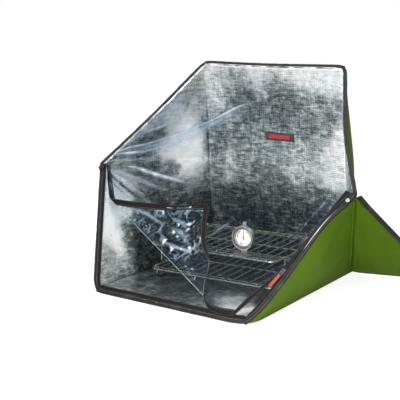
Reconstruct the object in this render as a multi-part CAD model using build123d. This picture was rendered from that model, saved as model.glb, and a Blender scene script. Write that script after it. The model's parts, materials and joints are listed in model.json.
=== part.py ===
from build123d import *
import os
from math import cos, hypot, radians, sin

# Box solar cooker: a sewn, foil-lined fabric shell with a sloping hexagonal mouth, a clear
# window zipped across its lower half, two pinched gusset ears, a two-tier folding wire rack
# and a dial thermometer. Millimetres, +X to the right, +Y to the back, +Z up.
# The origin is the middle of the floor's underside.

# ---- Shell: the corners where the panels are sewn together ----
FLOOR_W = 381.0
FLOOR_D = 457.0
ELBOW_HALF = 318.0       # each elbow from the middle plane
ELBOW_SETBACK = 178.0    # elbows behind the floor's front edge
ELBOW_Z = 239.0
TOP_HALF = 183.0         # each top corner from the middle plane
TOP_SETBACK = 401.0
TOP_Z = 467.0

# ---- Wall layers, from the outside in ----
COVER_T = 1.0
CORE_T = 6.0
LINING_T = 1.0

# ---- Rim: binding, then the zipper's fixed half, then its free half ----
BINDING_WRAP = 1.2       # how far the binding stands out past the cover
BINDING_W = 9.0
BINDING_T = 3.0
TAPE_T = 1.0
FRAME_TAPE_W = 4.0
TEETH_W = 1.5
TEETH_T = 2.0
TEETH_GAP = 1.6          # between the two rows, where the slider's post runs
RIBBON_W = 11.5          # the window's half of the zipper, teeth included
FILM_T = 0.4
FILM_INSET = 5.0         # ribbon left bare outside the film

# ---- Opened window: points on the lower facet, across from its middle and up its slope ----
SLIDER_V = 118.0
CREASE_TOP = (-252.0, 216.0)
CREASE_FOOT = (68.0, 43.6)
FREE_CORNER = (156.0, 21.0)
FLAP_LIFT = 8.0          # degrees between the folded corner and the window under it
FLAP_RISE = 2.0          # the crease's height over the facet
FLAP_TIP = (210.0, 133.5)    # along the crease from its top, and away from it
FLAP_BEND = (337.0, 27.5)
CREASE_GAP = 0.6

# ---- Zipper slider and pull ----
SLIDER_L = 11.0
SLIDER_W = 8.0
PLATE_T = 1.0
PLATE_GAP = 0.3
POST_L = 4.0
POST_W = 1.0
BAIL_L = 5.0
BAIL_W = 1.6
BAIL_H = 2.8
PULL_WIRE_R = 0.7
PULL_HOLE_R = 1.1
PULL_RING_L = 9.0
PULL_RING_W = 7.0
PULL_RING_R = 1.8
TAB_L = 32.0
TAB_W = 9.0
TAB_T = 2.2
TAB_CORNER_R = 3.0
TAB_HOLE_R = 0.8
TAB_SLOT_CLEARANCE = 1.0

# ---- Gusset ears, pinched out of the fold between side and wing ----
EAR_ALONG = 187.0        # the tip's place along the fold, from the floor
EAR_REACH = 184.0
EAR_TURN = 11.3          # degrees from the fold's middle direction towards the side panel
EAR_LAYER_T = 2.5
EAR_TOP_GAP = 14.0       # bare fold left below the elbow
EAR_GAP = 0.3
EAR_BINDING_W = 8.0
EAR_BINDING_T = 1.0
EAR_FLOOR_GAP = 2.0

# ---- Small sewn and riveted pieces ----
SNAP_R = 4.2
SNAP_T = 1.8
SNAP_V = 281.0
LABEL_W = 65.0
LABEL_H = 17.0
LABEL_T = 0.6
LABEL_X = 15.0
LABEL_UP = 304.0         # up the back panel's slope to the label's middle
HANDLE_L = 150.0
HANDLE_W = 25.0
HANDLE_T = 2.4
HANDLE_PAD = 28.0
HANDLE_BOW = 22.0
HANDLE_UP = 400.0

# ---- Wire rack ----
RACK_X = 10.0
RACK_Y = 16.0
RACK_YAW = 3.5
RACK_W = 300.0
RACK_D = 230.0
RACK_CORNER_R = 16.0
RIM_WIRE_R = 2.0
BAR_WIRE_R = 1.25
BAR_PITCH = 20.0
BAR_SINK = 0.4           # welded bars bite this far into the rim wire
STAY_INSET = 15.0        # the second long wire, behind the front one
LEG_WIRE_R = 1.5
EYE_WALL = 1.6
EYE_L = 6.0
EYE_CLEARANCE = 0.06
REST_GAP = 0.3
LOWER_TIER_Z = 33.0
UPPER_TIER_Z = 88.0
LOWER_EYE_Y = 88.0
UPPER_EYE_Y = 70.0
LEG_BEND_R = 8.0

# ---- Dial thermometer, standing on the upper tier ----
DIAL_ACROSS = 72.0       # from the rack's middle
DIAL_SETBACK = 14.4      # behind the rack's front wire
DIAL_R = 25.0
CASE_D = 9.0
CASE_WALL = 0.8
BEZEL_LIP = 2.2
DIAL_T = 0.6
DIAL_BACK = 2.2          # the dial plate's back over the case's floor
LENS_T = 1.4
POINTER_L = 17.0
POINTER_TAIL = 5.0
POINTER_W = 1.8
POINTER_TIP_W = 0.6
POINTER_T = 0.5
POINTER_GAP = 0.4
HUB_R = 2.2
PIN_R = 0.6
PIN_CLEARANCE = 0.05
FOOT_RISE = 10.0         # the case's lowest point over the foot's underside
FOOT_W = 36.0
FOOT_D = 26.0
STAND_T = 1.0
STAND_W = 14.0
LIP_RISE = 7.0           # the bent lip that hangs on a wire
LIP_REACH = 6.0
LIP_W = 8.0

# ---- Worked out from the sizes above ----
BIG = 4000.0
WALL_T = COVER_T + CORE_T + LINING_T
ZIP_MIDDLE = BINDING_W + FRAME_TAPE_W + TEETH_W + TEETH_GAP / 2
FRONT_Y = -FLOOR_D / 2
INSIDE = Vector(0, 0, ELBOW_Z / 2)


def mirrored(point):
    return Vector(-point.X, point.Y, point.Z)


FRONT_RIGHT = Vector(FLOOR_W / 2, FRONT_Y, 0)
BACK_RIGHT = Vector(FLOOR_W / 2, FRONT_Y + FLOOR_D, 0)
ELBOW_RIGHT = Vector(ELBOW_HALF, FRONT_Y + ELBOW_SETBACK, ELBOW_Z)
TOP_RIGHT = Vector(TOP_HALF, FRONT_Y + TOP_SETBACK, TOP_Z)
FRONT_LEFT, BACK_LEFT, ELBOW_LEFT, TOP_LEFT = (
    mirrored(corner) for corner in (FRONT_RIGHT, BACK_RIGHT, ELBOW_RIGHT, TOP_RIGHT)
)


def plane_through(a, b, c):
    """Plane on three corners, facing out of the cooker."""
    normal = (b - a).cross(c - a).normalized()
    if normal.dot(INSIDE - a) > 0:
        normal = normal * -1
    return Plane(origin=a, z_dir=normal)


def facet(low, high):
    """Plane of one half of the mouth, its origin on the middle plane and Y up the slope."""
    slope = high - low
    normal = Vector(1, 0, 0).cross(Vector(0, slope.Y, slope.Z)).normalized()
    return Plane(origin=Vector(0, low.Y, low.Z), x_dir=Vector(1, 0, 0), z_dir=normal)


WALLS = {
    "floor": plane_through(FRONT_LEFT, FRONT_RIGHT, BACK_RIGHT),
    "back": plane_through(BACK_LEFT, BACK_RIGHT, TOP_RIGHT),
    "side_left": plane_through(FRONT_LEFT, ELBOW_LEFT, BACK_LEFT),
    "side_right": plane_through(FRONT_RIGHT, ELBOW_RIGHT, BACK_RIGHT),
    "wing_left": plane_through(BACK_LEFT, ELBOW_LEFT, TOP_LEFT),
    "wing_right": plane_through(BACK_RIGHT, ELBOW_RIGHT, TOP_RIGHT),
}
LOWER = facet(FRONT_RIGHT, ELBOW_RIGHT)
UPPER = facet(ELBOW_RIGHT, TOP_RIGHT)
LOWER_RUN = hypot(ELBOW_SETBACK, ELBOW_Z)
RIM = {
    "front": ("floor", LOWER),
    "lower_left": ("side_left", LOWER),
    "lower_right": ("side_right", LOWER),
    "upper_left": ("wing_left", UPPER),
    "top": ("back", UPPER),
    "upper_right": ("wing_right", UPPER),
}

parts = {}


def add(name, shape):
    parts[name] = shape


# ---- Solids cut by planes: each plane faces out of the solid ----
def carve(limits):
    body = Box(BIG, BIG, BIG)
    for limit in limits:
        body = split(body, bisect_by=limit, keep=Keep.BOTTOM)
    return body.solid()


def mitre(one, other):
    """Plane halfway between two planes, facing from the one's side to the other's."""
    across = other.z_dir - one.z_dir
    level = other.z_dir.dot(other.origin) - one.z_dir.dot(one.origin)
    return Plane(origin=across * (level / across.dot(across)), z_dir=across)


def between(plane, outer, inner):
    """The layer between two depths behind a plane; a depth below zero is in front of it."""
    return [plane.offset(-outer), -plane.offset(-inner)]


def panel(name, outer, inner):
    own = WALLS[name]
    mitres = [mitre(own, other) for key, other in WALLS.items() if key != name]
    return carve(between(own, outer, inner) + mitres + [LOWER, UPPER])


def rim_bar(place, near, far, low, high):
    """Bar along one edge of the mouth, near to far in from its wall, low to high over it."""
    name, own_facet = RIM[place]
    other_facet = UPPER if own_facet is LOWER else LOWER
    limits = between(WALLS[name], near, far) + between(own_facet, -high, -low)
    limits.append(mitre(own_facet, other_facet))
    for other_name, other_facet in RIM.values():
        if other_facet is own_facet and other_name != name:
            limits.append(mitre(WALLS[name], WALLS[other_name]))
    return carve(limits)


# ---- Points and edges on the lower facet ----
def on_facet(across, up):
    return LOWER.from_local_coords(Vector(across, up, 0))


def rim_across(up, depth):
    """How far across the right rim lies on the lower facet, at a depth in from the side."""
    side = WALLS["side_right"]
    start = side.z_dir.dot(on_facet(0, up) - side.origin)
    return (-depth - start) / side.z_dir.dot(LOWER.x_dir)


def edge_plane(frame, start, end, inset=0.0):
    """Plane square to a frame through two of its points, facing right of their direction."""
    along = (end[0] - start[0], end[1] - start[1])
    length = hypot(*along)
    outward = (frame.x_dir * along[1] - frame.y_dir * along[0]) * (1 / length)
    origin = frame.from_local_coords(Vector(start[0], start[1], 0))
    return Plane(origin=origin, z_dir=outward).offset(-inset)


def outline(frame, edges, inset, low, high, loose=0.0):
    """Plate inside a ring of edges; only the zipped edges are inset, the rest move out."""
    limits = between(frame, -high, -low)
    for start, end, zipped in edges:
        limits.append(edge_plane(frame, start, end, inset if zipped else -loose))
    return carve(limits)


def ribbon(frame, edges, near, far, low, high):
    """Strip along the zipped edges, from near to far in from the ribbon's outer edge."""
    whole = outline(frame, edges, near, low, high)
    return whole - outline(frame, edges, far, low - 1, high + 1, loose=1)


ELBOW_ROW = rim_across(LOWER_RUN, ZIP_MIDDLE + TEETH_GAP / 2)
SLIDER_ROW = rim_across(SLIDER_V, ZIP_MIDDLE + TEETH_GAP / 2)
WINDOW_EDGES = [
    ((-ELBOW_ROW, LOWER_RUN), CREASE_TOP, True),
    (CREASE_TOP, CREASE_FOOT, False),
    (CREASE_FOOT, FREE_CORNER, True),
    (FREE_CORNER, (SLIDER_ROW, SLIDER_V), True),
    ((SLIDER_ROW, SLIDER_V), (ELBOW_ROW, LOWER_RUN), True),
    ((ELBOW_ROW, LOWER_RUN), (-ELBOW_ROW, LOWER_RUN), False),
]

# The crease's own frame: X down the crease, Y towards the window, Z out.
CREASE = (CREASE_FOOT[0] - CREASE_TOP[0], CREASE_FOOT[1] - CREASE_TOP[1])
CREASE_L = hypot(*CREASE)
CREASE_DIR = (LOWER.x_dir * CREASE[0] + LOWER.y_dir * CREASE[1]) * (1 / CREASE_L)
CREASE_ORIGIN = LOWER.from_local_coords(Vector(*CREASE_TOP, FLAP_RISE))
CREASE_UP = LOWER.z_dir.cross(CREASE_DIR)
FLAP_NORMAL = LOWER.z_dir * cos(radians(FLAP_LIFT)) - CREASE_UP * sin(radians(FLAP_LIFT))
FLAP = Plane(origin=CREASE_ORIGIN, x_dir=CREASE_DIR, z_dir=FLAP_NORMAL)
FLAP_EDGES = [
    ((0, CREASE_GAP), (CREASE_L, CREASE_GAP), False),
    ((CREASE_L, 0), FLAP_BEND, True),
    (FLAP_BEND, FLAP_TIP, True),
    (FLAP_TIP, (0, 0), True),
]

# The zipper's own frame at the slider: X up the zipper, Z out of the facet.
ZIP_DIR = (ELBOW_RIGHT - FRONT_RIGHT).normalized()
ZIP = Plane(
    origin=on_facet(rim_across(SLIDER_V, ZIP_MIDDLE), SLIDER_V), x_dir=ZIP_DIR, z_dir=LOWER.z_dir
)


def make_shell():
    core_depth = COVER_T + CORE_T
    for name in WALLS:
        add(f"cover_{name}", panel(name, 0, COVER_T))
        add(f"core_{name}", panel(name, COVER_T, core_depth))
        add(f"lining_{name}", panel(name, core_depth, WALL_T))


def make_rim():
    for place in RIM:
        wrap = 0 if place == "front" else BINDING_WRAP
        add(f"binding_{place}", rim_bar(place, -wrap, BINDING_W, 0, BINDING_T))
    teeth_start = BINDING_W + FRAME_TAPE_W
    tape, teeth = None, None
    for place in ("lower_left", "front", "lower_right"):
        tape_bar = rim_bar(place, BINDING_W, teeth_start, 0, TAPE_T)
        teeth_bar = rim_bar(place, teeth_start, teeth_start + TEETH_W, 0, TEETH_T)
        tape = tape_bar if tape is None else tape + tape_bar
        teeth = teeth_bar if teeth is None else teeth + teeth_bar
    add("zipper_frame_tape", tape)
    add("zipper_frame_teeth", teeth)


def make_window():
    upper_limits = between(UPPER, -TAPE_T - FILM_T, -TAPE_T) + [mitre(UPPER, LOWER)]
    for name in ("wing_left", "back", "wing_right"):
        upper_limits.append(WALLS[name].offset(-BINDING_W))
    add("film_upper", carve(upper_limits))
    film = outline(LOWER, WINDOW_EDGES, FILM_INSET, TAPE_T, TAPE_T + FILM_T)
    add("film_lower", split(film, bisect_by=mitre(LOWER, UPPER), keep=Keep.BOTTOM).solid())
    tapes = ribbon(LOWER, WINDOW_EDGES, TEETH_W, RIBBON_W, 0, TAPE_T)
    teeth = ribbon(LOWER, WINDOW_EDGES, 0, TEETH_W, 0, TEETH_T)
    for kind, strips in (("tape", tapes), ("teeth", teeth)):
        left, right = strips.solids().sort_by(Axis.X)
        add(f"zipper_window_{kind}_left", left)
        add(f"zipper_window_{kind}_right", right)


def make_flap():
    half = FILM_T / 2
    add("flap_film", outline(FLAP, FLAP_EDGES, FILM_INSET, -half, half))
    add("flap_tape", ribbon(FLAP, FLAP_EDGES, TEETH_W, RIBBON_W, half, half + TAPE_T).solid())
    add("flap_teeth", ribbon(FLAP, FLAP_EDGES, 0, TEETH_W, half, half + TEETH_T).solid())


def make_slider():
    top = TEETH_T + PLATE_GAP + PLATE_T
    base = -PLATE_GAP - PLATE_T
    upright = (Align.CENTER, Align.CENTER, Align.MIN)
    body = Pos(0, 0, base) * Box(SLIDER_L, SLIDER_W, PLATE_T, align=upright)
    body += Pos(0, 0, top - PLATE_T) * Box(SLIDER_L, SLIDER_W, PLATE_T, align=upright)
    post_x = (SLIDER_L - POST_L) / 2
    body += Pos(post_x, 0, base) * Box(POST_L, POST_W, top - base, align=upright)
    body += Pos(0, 0, top) * Box(BAIL_L, BAIL_W, BAIL_H, align=upright)
    body -= Pos(0, 0, top + BAIL_H / 2) * Rot(90, 0, 0) * Cylinder(PULL_HOLE_R, 3 * BAIL_W)
    add("zipper_slider", ZIP * body)
    pivot = Pos(0, 0, top + BAIL_H / 2)
    loop = RectangleRounded(PULL_RING_L, PULL_RING_W, PULL_RING_R)
    loop = Pos(-PULL_RING_L / 2, 0, 0) * loop
    section = Plane(origin=(0, 0, 0), z_dir=(0, 1, 0)) * Circle(PULL_WIRE_R)
    add("pull_ring", ZIP * pivot * sweep(section, path=loop.wire()))
    tab_x = -PULL_RING_L - TAB_L / 2 + 2 * TAB_HOLE_R
    face = Pos(tab_x, 0, 0) * RectangleRounded(TAB_L, TAB_W, TAB_CORNER_R)
    tab = extrude(face, TAB_T / 2, both=True)
    tab -= Pos(-PULL_RING_L, 0, 0) * Rot(90, 0, 0) * Cylinder(TAB_HOLE_R, 2 * TAB_W)
    slot_w = PULL_RING_W + 2 * TAB_SLOT_CLEARANCE
    ahead = (Align.MIN, Align.CENTER, Align.CENTER)
    tab -= Pos(-PULL_RING_L, 0, 0) * Box(2 * TAB_T, slot_w, 2 * TAB_T, align=ahead)
    add("pull_tab", ZIP * pivot * tab)


def ear_frame():
    """Frame on the right ear's fold: X up the fold, Y out along the ear."""
    fold = (ELBOW_RIGHT - BACK_RIGHT).normalized()
    middle = (WALLS["side_right"].z_dir + WALLS["wing_right"].z_dir).normalized()
    across = fold.cross(middle)
    out = middle * cos(radians(EAR_TURN)) - across * sin(radians(EAR_TURN))
    origin = BACK_RIGHT + middle * (EAR_LAYER_T + EAR_GAP)
    return Plane(origin=origin, x_dir=fold, z_dir=fold.cross(out))


EAR = ear_frame()


def make_ears():
    fold_l = (ELBOW_RIGHT - BACK_RIGHT).length - EAR_TOP_GAP
    tip = (EAR_ALONG, EAR_REACH)
    edges = [((0, 0), (fold_l, 0), False), ((fold_l, 0), tip, False), (tip, (0, 0), False)]
    floor = -Plane.XY.offset(EAR_FLOOR_GAP)
    reach = hypot(fold_l - EAR_ALONG, EAR_REACH)
    root = EAR * Pos(fold_l / 2, 0, 0) * Rot(0, 90, 0) * Cylinder(EAR_LAYER_T, fold_l)
    plate = outline(EAR, edges, 0, -EAR_LAYER_T, EAR_LAYER_T) + root
    plate = split(plate, bisect_by=floor, keep=Keep.BOTTOM)
    front = split(plate, bisect_by=EAR, keep=Keep.BOTTOM).solid()
    rear = split(plate, bisect_by=EAR, keep=Keep.TOP).solid()
    edge_dir = (EAR.x_dir * (EAR_ALONG - fold_l) + EAR.y_dir * EAR_REACH) * (1 / reach)
    edge_origin = EAR.from_local_coords(Vector(fold_l, 0, 0))
    edge = Plane(origin=edge_origin, x_dir=edge_dir, z_dir=EAR.z_dir)
    clear = 2 * EAR_LAYER_T
    half = EAR_LAYER_T + EAR_BINDING_T
    corner = (Align.MIN, Align.MIN, Align.CENTER)
    wrap = Box(reach - clear, EAR_BINDING_W + EAR_BINDING_T, 2 * half, align=corner)
    binding = edge * Pos(clear, -EAR_BINDING_W, 0) * wrap - front - rear
    pieces = {"front": front, "rear": rear, "binding": binding.solid()}
    for name, shape in pieces.items():
        add(f"ear_right_{name}", shape)
        add(f"ear_left_{name}", mirror(shape, about=Plane.YZ))


def make_trim():
    back = WALLS["back"]
    foot = Vector(0, FRONT_Y + FLOOR_D, 0)
    on_face = (Align.CENTER, Align.CENTER, Align.MIN)
    inner = Plane(origin=foot, x_dir=(1, 0, 0), z_dir=back.z_dir * -1)
    label = Box(LABEL_W, LABEL_H, LABEL_T, align=on_face)
    add("label", inner * Pos(LABEL_X, LABEL_UP, WALL_T) * label)
    snap_x = rim_across(SNAP_V, (BINDING_W - BINDING_WRAP) / 2)
    disc = Cylinder(SNAP_R, SNAP_T, align=on_face)
    snap = fillet(disc.edges().group_by(Axis.Z)[-1], SNAP_T / 3)
    right = LOWER * Pos(snap_x, SNAP_V, BINDING_T) * snap
    add("snaps", Compound(children=[right, mirror(right, about=Plane.YZ)]))
    outer = Plane(origin=foot, x_dir=(-1, 0, 0), z_dir=back.z_dir)
    half, bow_end = HANDLE_L / 2, HANDLE_L / 2 - HANDLE_PAD
    inner_end, inner_bow = bow_end - HANDLE_T, HANDLE_BOW - HANDLE_T
    arch_out = ThreePointArc((-bow_end, HANDLE_T), (0, HANDLE_BOW), (bow_end, HANDLE_T))
    arch_in = ThreePointArc((inner_end, 0), (0, inner_bow), (-inner_end, 0))
    left_end = Polyline((-inner_end, 0), (-half, 0), (-half, HANDLE_T), (-bow_end, HANDLE_T))
    right_end = Polyline((bow_end, HANDLE_T), (half, HANDLE_T), (half, 0), (inner_end, 0))
    profile = make_face(arch_out + right_end + arch_in + left_end)
    strap = Rot(90, 0, 0) * extrude(profile, HANDLE_W / 2, both=True)
    add("carry_handle", outer * Pos(0, HANDLE_UP, 0) * strap)


RACK = Pos(RACK_X, RACK_Y, 0) * Rot(0, 0, RACK_YAW)


def rod(start, end, radius):
    start, end = Vector(*start), Vector(*end)
    return Plane(origin=start, z_dir=end - start) * Cylinder(
        radius, (end - start).length, align=(Align.CENTER, Align.CENTER, Align.MIN)
    )


def rack_tier():
    """Rim wire, long stays at its height and cross bars welded on top."""
    loop = RectangleRounded(RACK_W, RACK_D, RACK_CORNER_R).wire()
    section = Plane(origin=(RACK_W / 2, 0, 0), z_dir=(0, 1, 0)) * Circle(RIM_WIRE_R)
    tier = sweep(section, path=loop)
    for y in (STAY_INSET - RACK_D / 2, 0, RACK_D / 2 - STAY_INSET):
        tier += rod((-RACK_W / 2, y, 0), (RACK_W / 2, y, 0), BAR_WIRE_R)
    bar_z = RIM_WIRE_R + BAR_WIRE_R - BAR_SINK
    count = int((RACK_W - 2 * RACK_CORNER_R) // BAR_PITCH)
    for i in range(count + 1):
        x = (i - count / 2) * BAR_PITCH
        tier += rod((x, -RACK_D / 2, bar_z), (x, RACK_D / 2, bar_z), BAR_WIRE_R)
    return tier


def rack_leg(drop, eye_y):
    """U-shaped leg under the rim wire's end, with an eye round the wire at each side."""
    bore = RIM_WIRE_R + EYE_CLEARANCE
    foot = -drop + LEG_WIRE_R
    start = -bore - EYE_WALL / 2
    points = [(0, -eye_y, start), (0, -eye_y, foot), (0, eye_y, foot), (0, eye_y, start)]
    path = FilletPolyline(*points, radius=LEG_BEND_R)
    leg = sweep(Plane(origin=points[0], z_dir=(0, 0, -1)) * Circle(LEG_WIRE_R), path=path)
    for side in (-1, 1):
        leg += Pos(0, side * eye_y, 0) * Rot(90, 0, 0) * Cylinder(bore + EYE_WALL, EYE_L)
    for side in (-1, 1):
        leg -= Pos(0, side * eye_y, 0) * Rot(90, 0, 0) * Cylinder(bore, 2 * EYE_L)
    return leg


def make_rack():
    lower_drop = LOWER_TIER_Z - WALL_T - REST_GAP
    upper_drop = UPPER_TIER_Z - LOWER_TIER_Z - RIM_WIRE_R - REST_GAP
    tiers = {
        "lower": (LOWER_TIER_Z, lower_drop, LOWER_EYE_Y),
        "upper": (UPPER_TIER_Z, upper_drop, UPPER_EYE_Y),
    }
    grid = rack_tier()
    for name, (height, drop, eye_y) in tiers.items():
        add(f"rack_{name}_grid", RACK * Pos(0, 0, height) * grid)
        leg = rack_leg(drop, eye_y)
        for side, place in ((-1, "left"), (1, "right")):
            spot = Pos(side * RACK_W / 2, 0, height)
            add(f"rack_{name}_leg_{place}", RACK * spot * leg)


FOOT_Z = UPPER_TIER_Z + RIM_WIRE_R + 2 * BAR_WIRE_R - BAR_SINK + REST_GAP
DIAL_Z = FOOT_Z + FOOT_RISE + DIAL_R
# The dial's own frame: Z out of its face, towards the front of the cooker.
DIAL_SPOT = RACK * Pos(DIAL_ACROSS, DIAL_SETBACK - RACK_D / 2, DIAL_Z)
DIAL = Plane(origin=DIAL_SPOT.position, x_dir=(1, 0, 0), z_dir=(0, -1, 0))


def make_thermometer():
    stand_up = (Align.CENTER, Align.CENTER, Align.MIN)
    case = Cylinder(DIAL_R, CASE_D, align=stand_up)
    cavity_r = DIAL_R - CASE_WALL
    case -= Pos(0, 0, CASE_WALL) * Cylinder(cavity_r, CASE_D - 2 * CASE_WALL, align=stand_up)
    case -= Cylinder(DIAL_R - BEZEL_LIP, 3 * CASE_D, align=stand_up)
    case += Cylinder(cavity_r, CASE_WALL, align=stand_up)
    pin_l = DIAL_BACK + DIAL_T + 2 * POINTER_GAP + POINTER_T - CASE_WALL
    case += Pos(0, 0, CASE_WALL) * Cylinder(PIN_R, pin_l, align=stand_up)
    case += Pos(0, 0, CASE_WALL) * Cylinder(HUB_R, DIAL_BACK - CASE_WALL, align=stand_up)
    add("dial_case", DIAL * case)
    dial = Pos(0, 0, DIAL_BACK) * Cylinder(cavity_r - REST_GAP, DIAL_T, align=stand_up)
    add("dial_plate", DIAL * (dial - Cylinder(PIN_R + REST_GAP, CASE_D, align=stand_up)))
    lens_z = CASE_D - CASE_WALL - LENS_T
    add("dial_lens", DIAL * Pos(0, 0, lens_z) * Cylinder(cavity_r, LENS_T, align=stand_up))
    pointer_z = DIAL_BACK + DIAL_T + POINTER_GAP
    tail, tip = POINTER_W / 2, POINTER_TIP_W / 2
    corners = [(-tail, -POINTER_TAIL), (tail, -POINTER_TAIL), (tip, POINTER_L), (-tip, POINTER_L)]
    needle = Polygon(*corners, align=None)
    pointer = extrude(needle + Circle(HUB_R), POINTER_T)
    pointer -= Cylinder(PIN_R + PIN_CLEARANCE, CASE_D, align=stand_up)
    add("dial_pointer", DIAL * Pos(0, 0, pointer_z) * pointer)
    foot_y = -DIAL_R - FOOT_RISE
    plate = Pos(0, foot_y + STAND_T / 2, FOOT_D / 2 - STAND_T) * Box(FOOT_W, STAND_T, FOOT_D)
    strip_h = 2 * DIAL_R + FOOT_RISE
    strip = Pos(0, foot_y + strip_h / 2, -STAND_T / 2) * Box(STAND_W, strip_h, STAND_T)
    lip_top = DIAL_R + LIP_RISE
    lip = Pos(0, lip_top - LIP_RISE / 2, -STAND_T / 2) * Box(LIP_W, LIP_RISE, STAND_T)
    lip += Pos(0, lip_top - STAND_T / 2, -LIP_REACH / 2) * Box(LIP_W, STAND_T, LIP_REACH)
    add("dial_stand", DIAL * (plate + strip + lip))


make_shell()
make_rim()
make_window()
make_flap()
make_slider()
make_ears()
make_trim()
make_rack()
make_thermometer()

os.makedirs("parts", exist_ok=True)
for name, shape in parts.items():
    export_step(shape, f"parts/{name}.step")
print(len(parts), "nodes written")
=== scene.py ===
import json
from math import ceil, cos, hypot, pi, radians, sin

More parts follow.
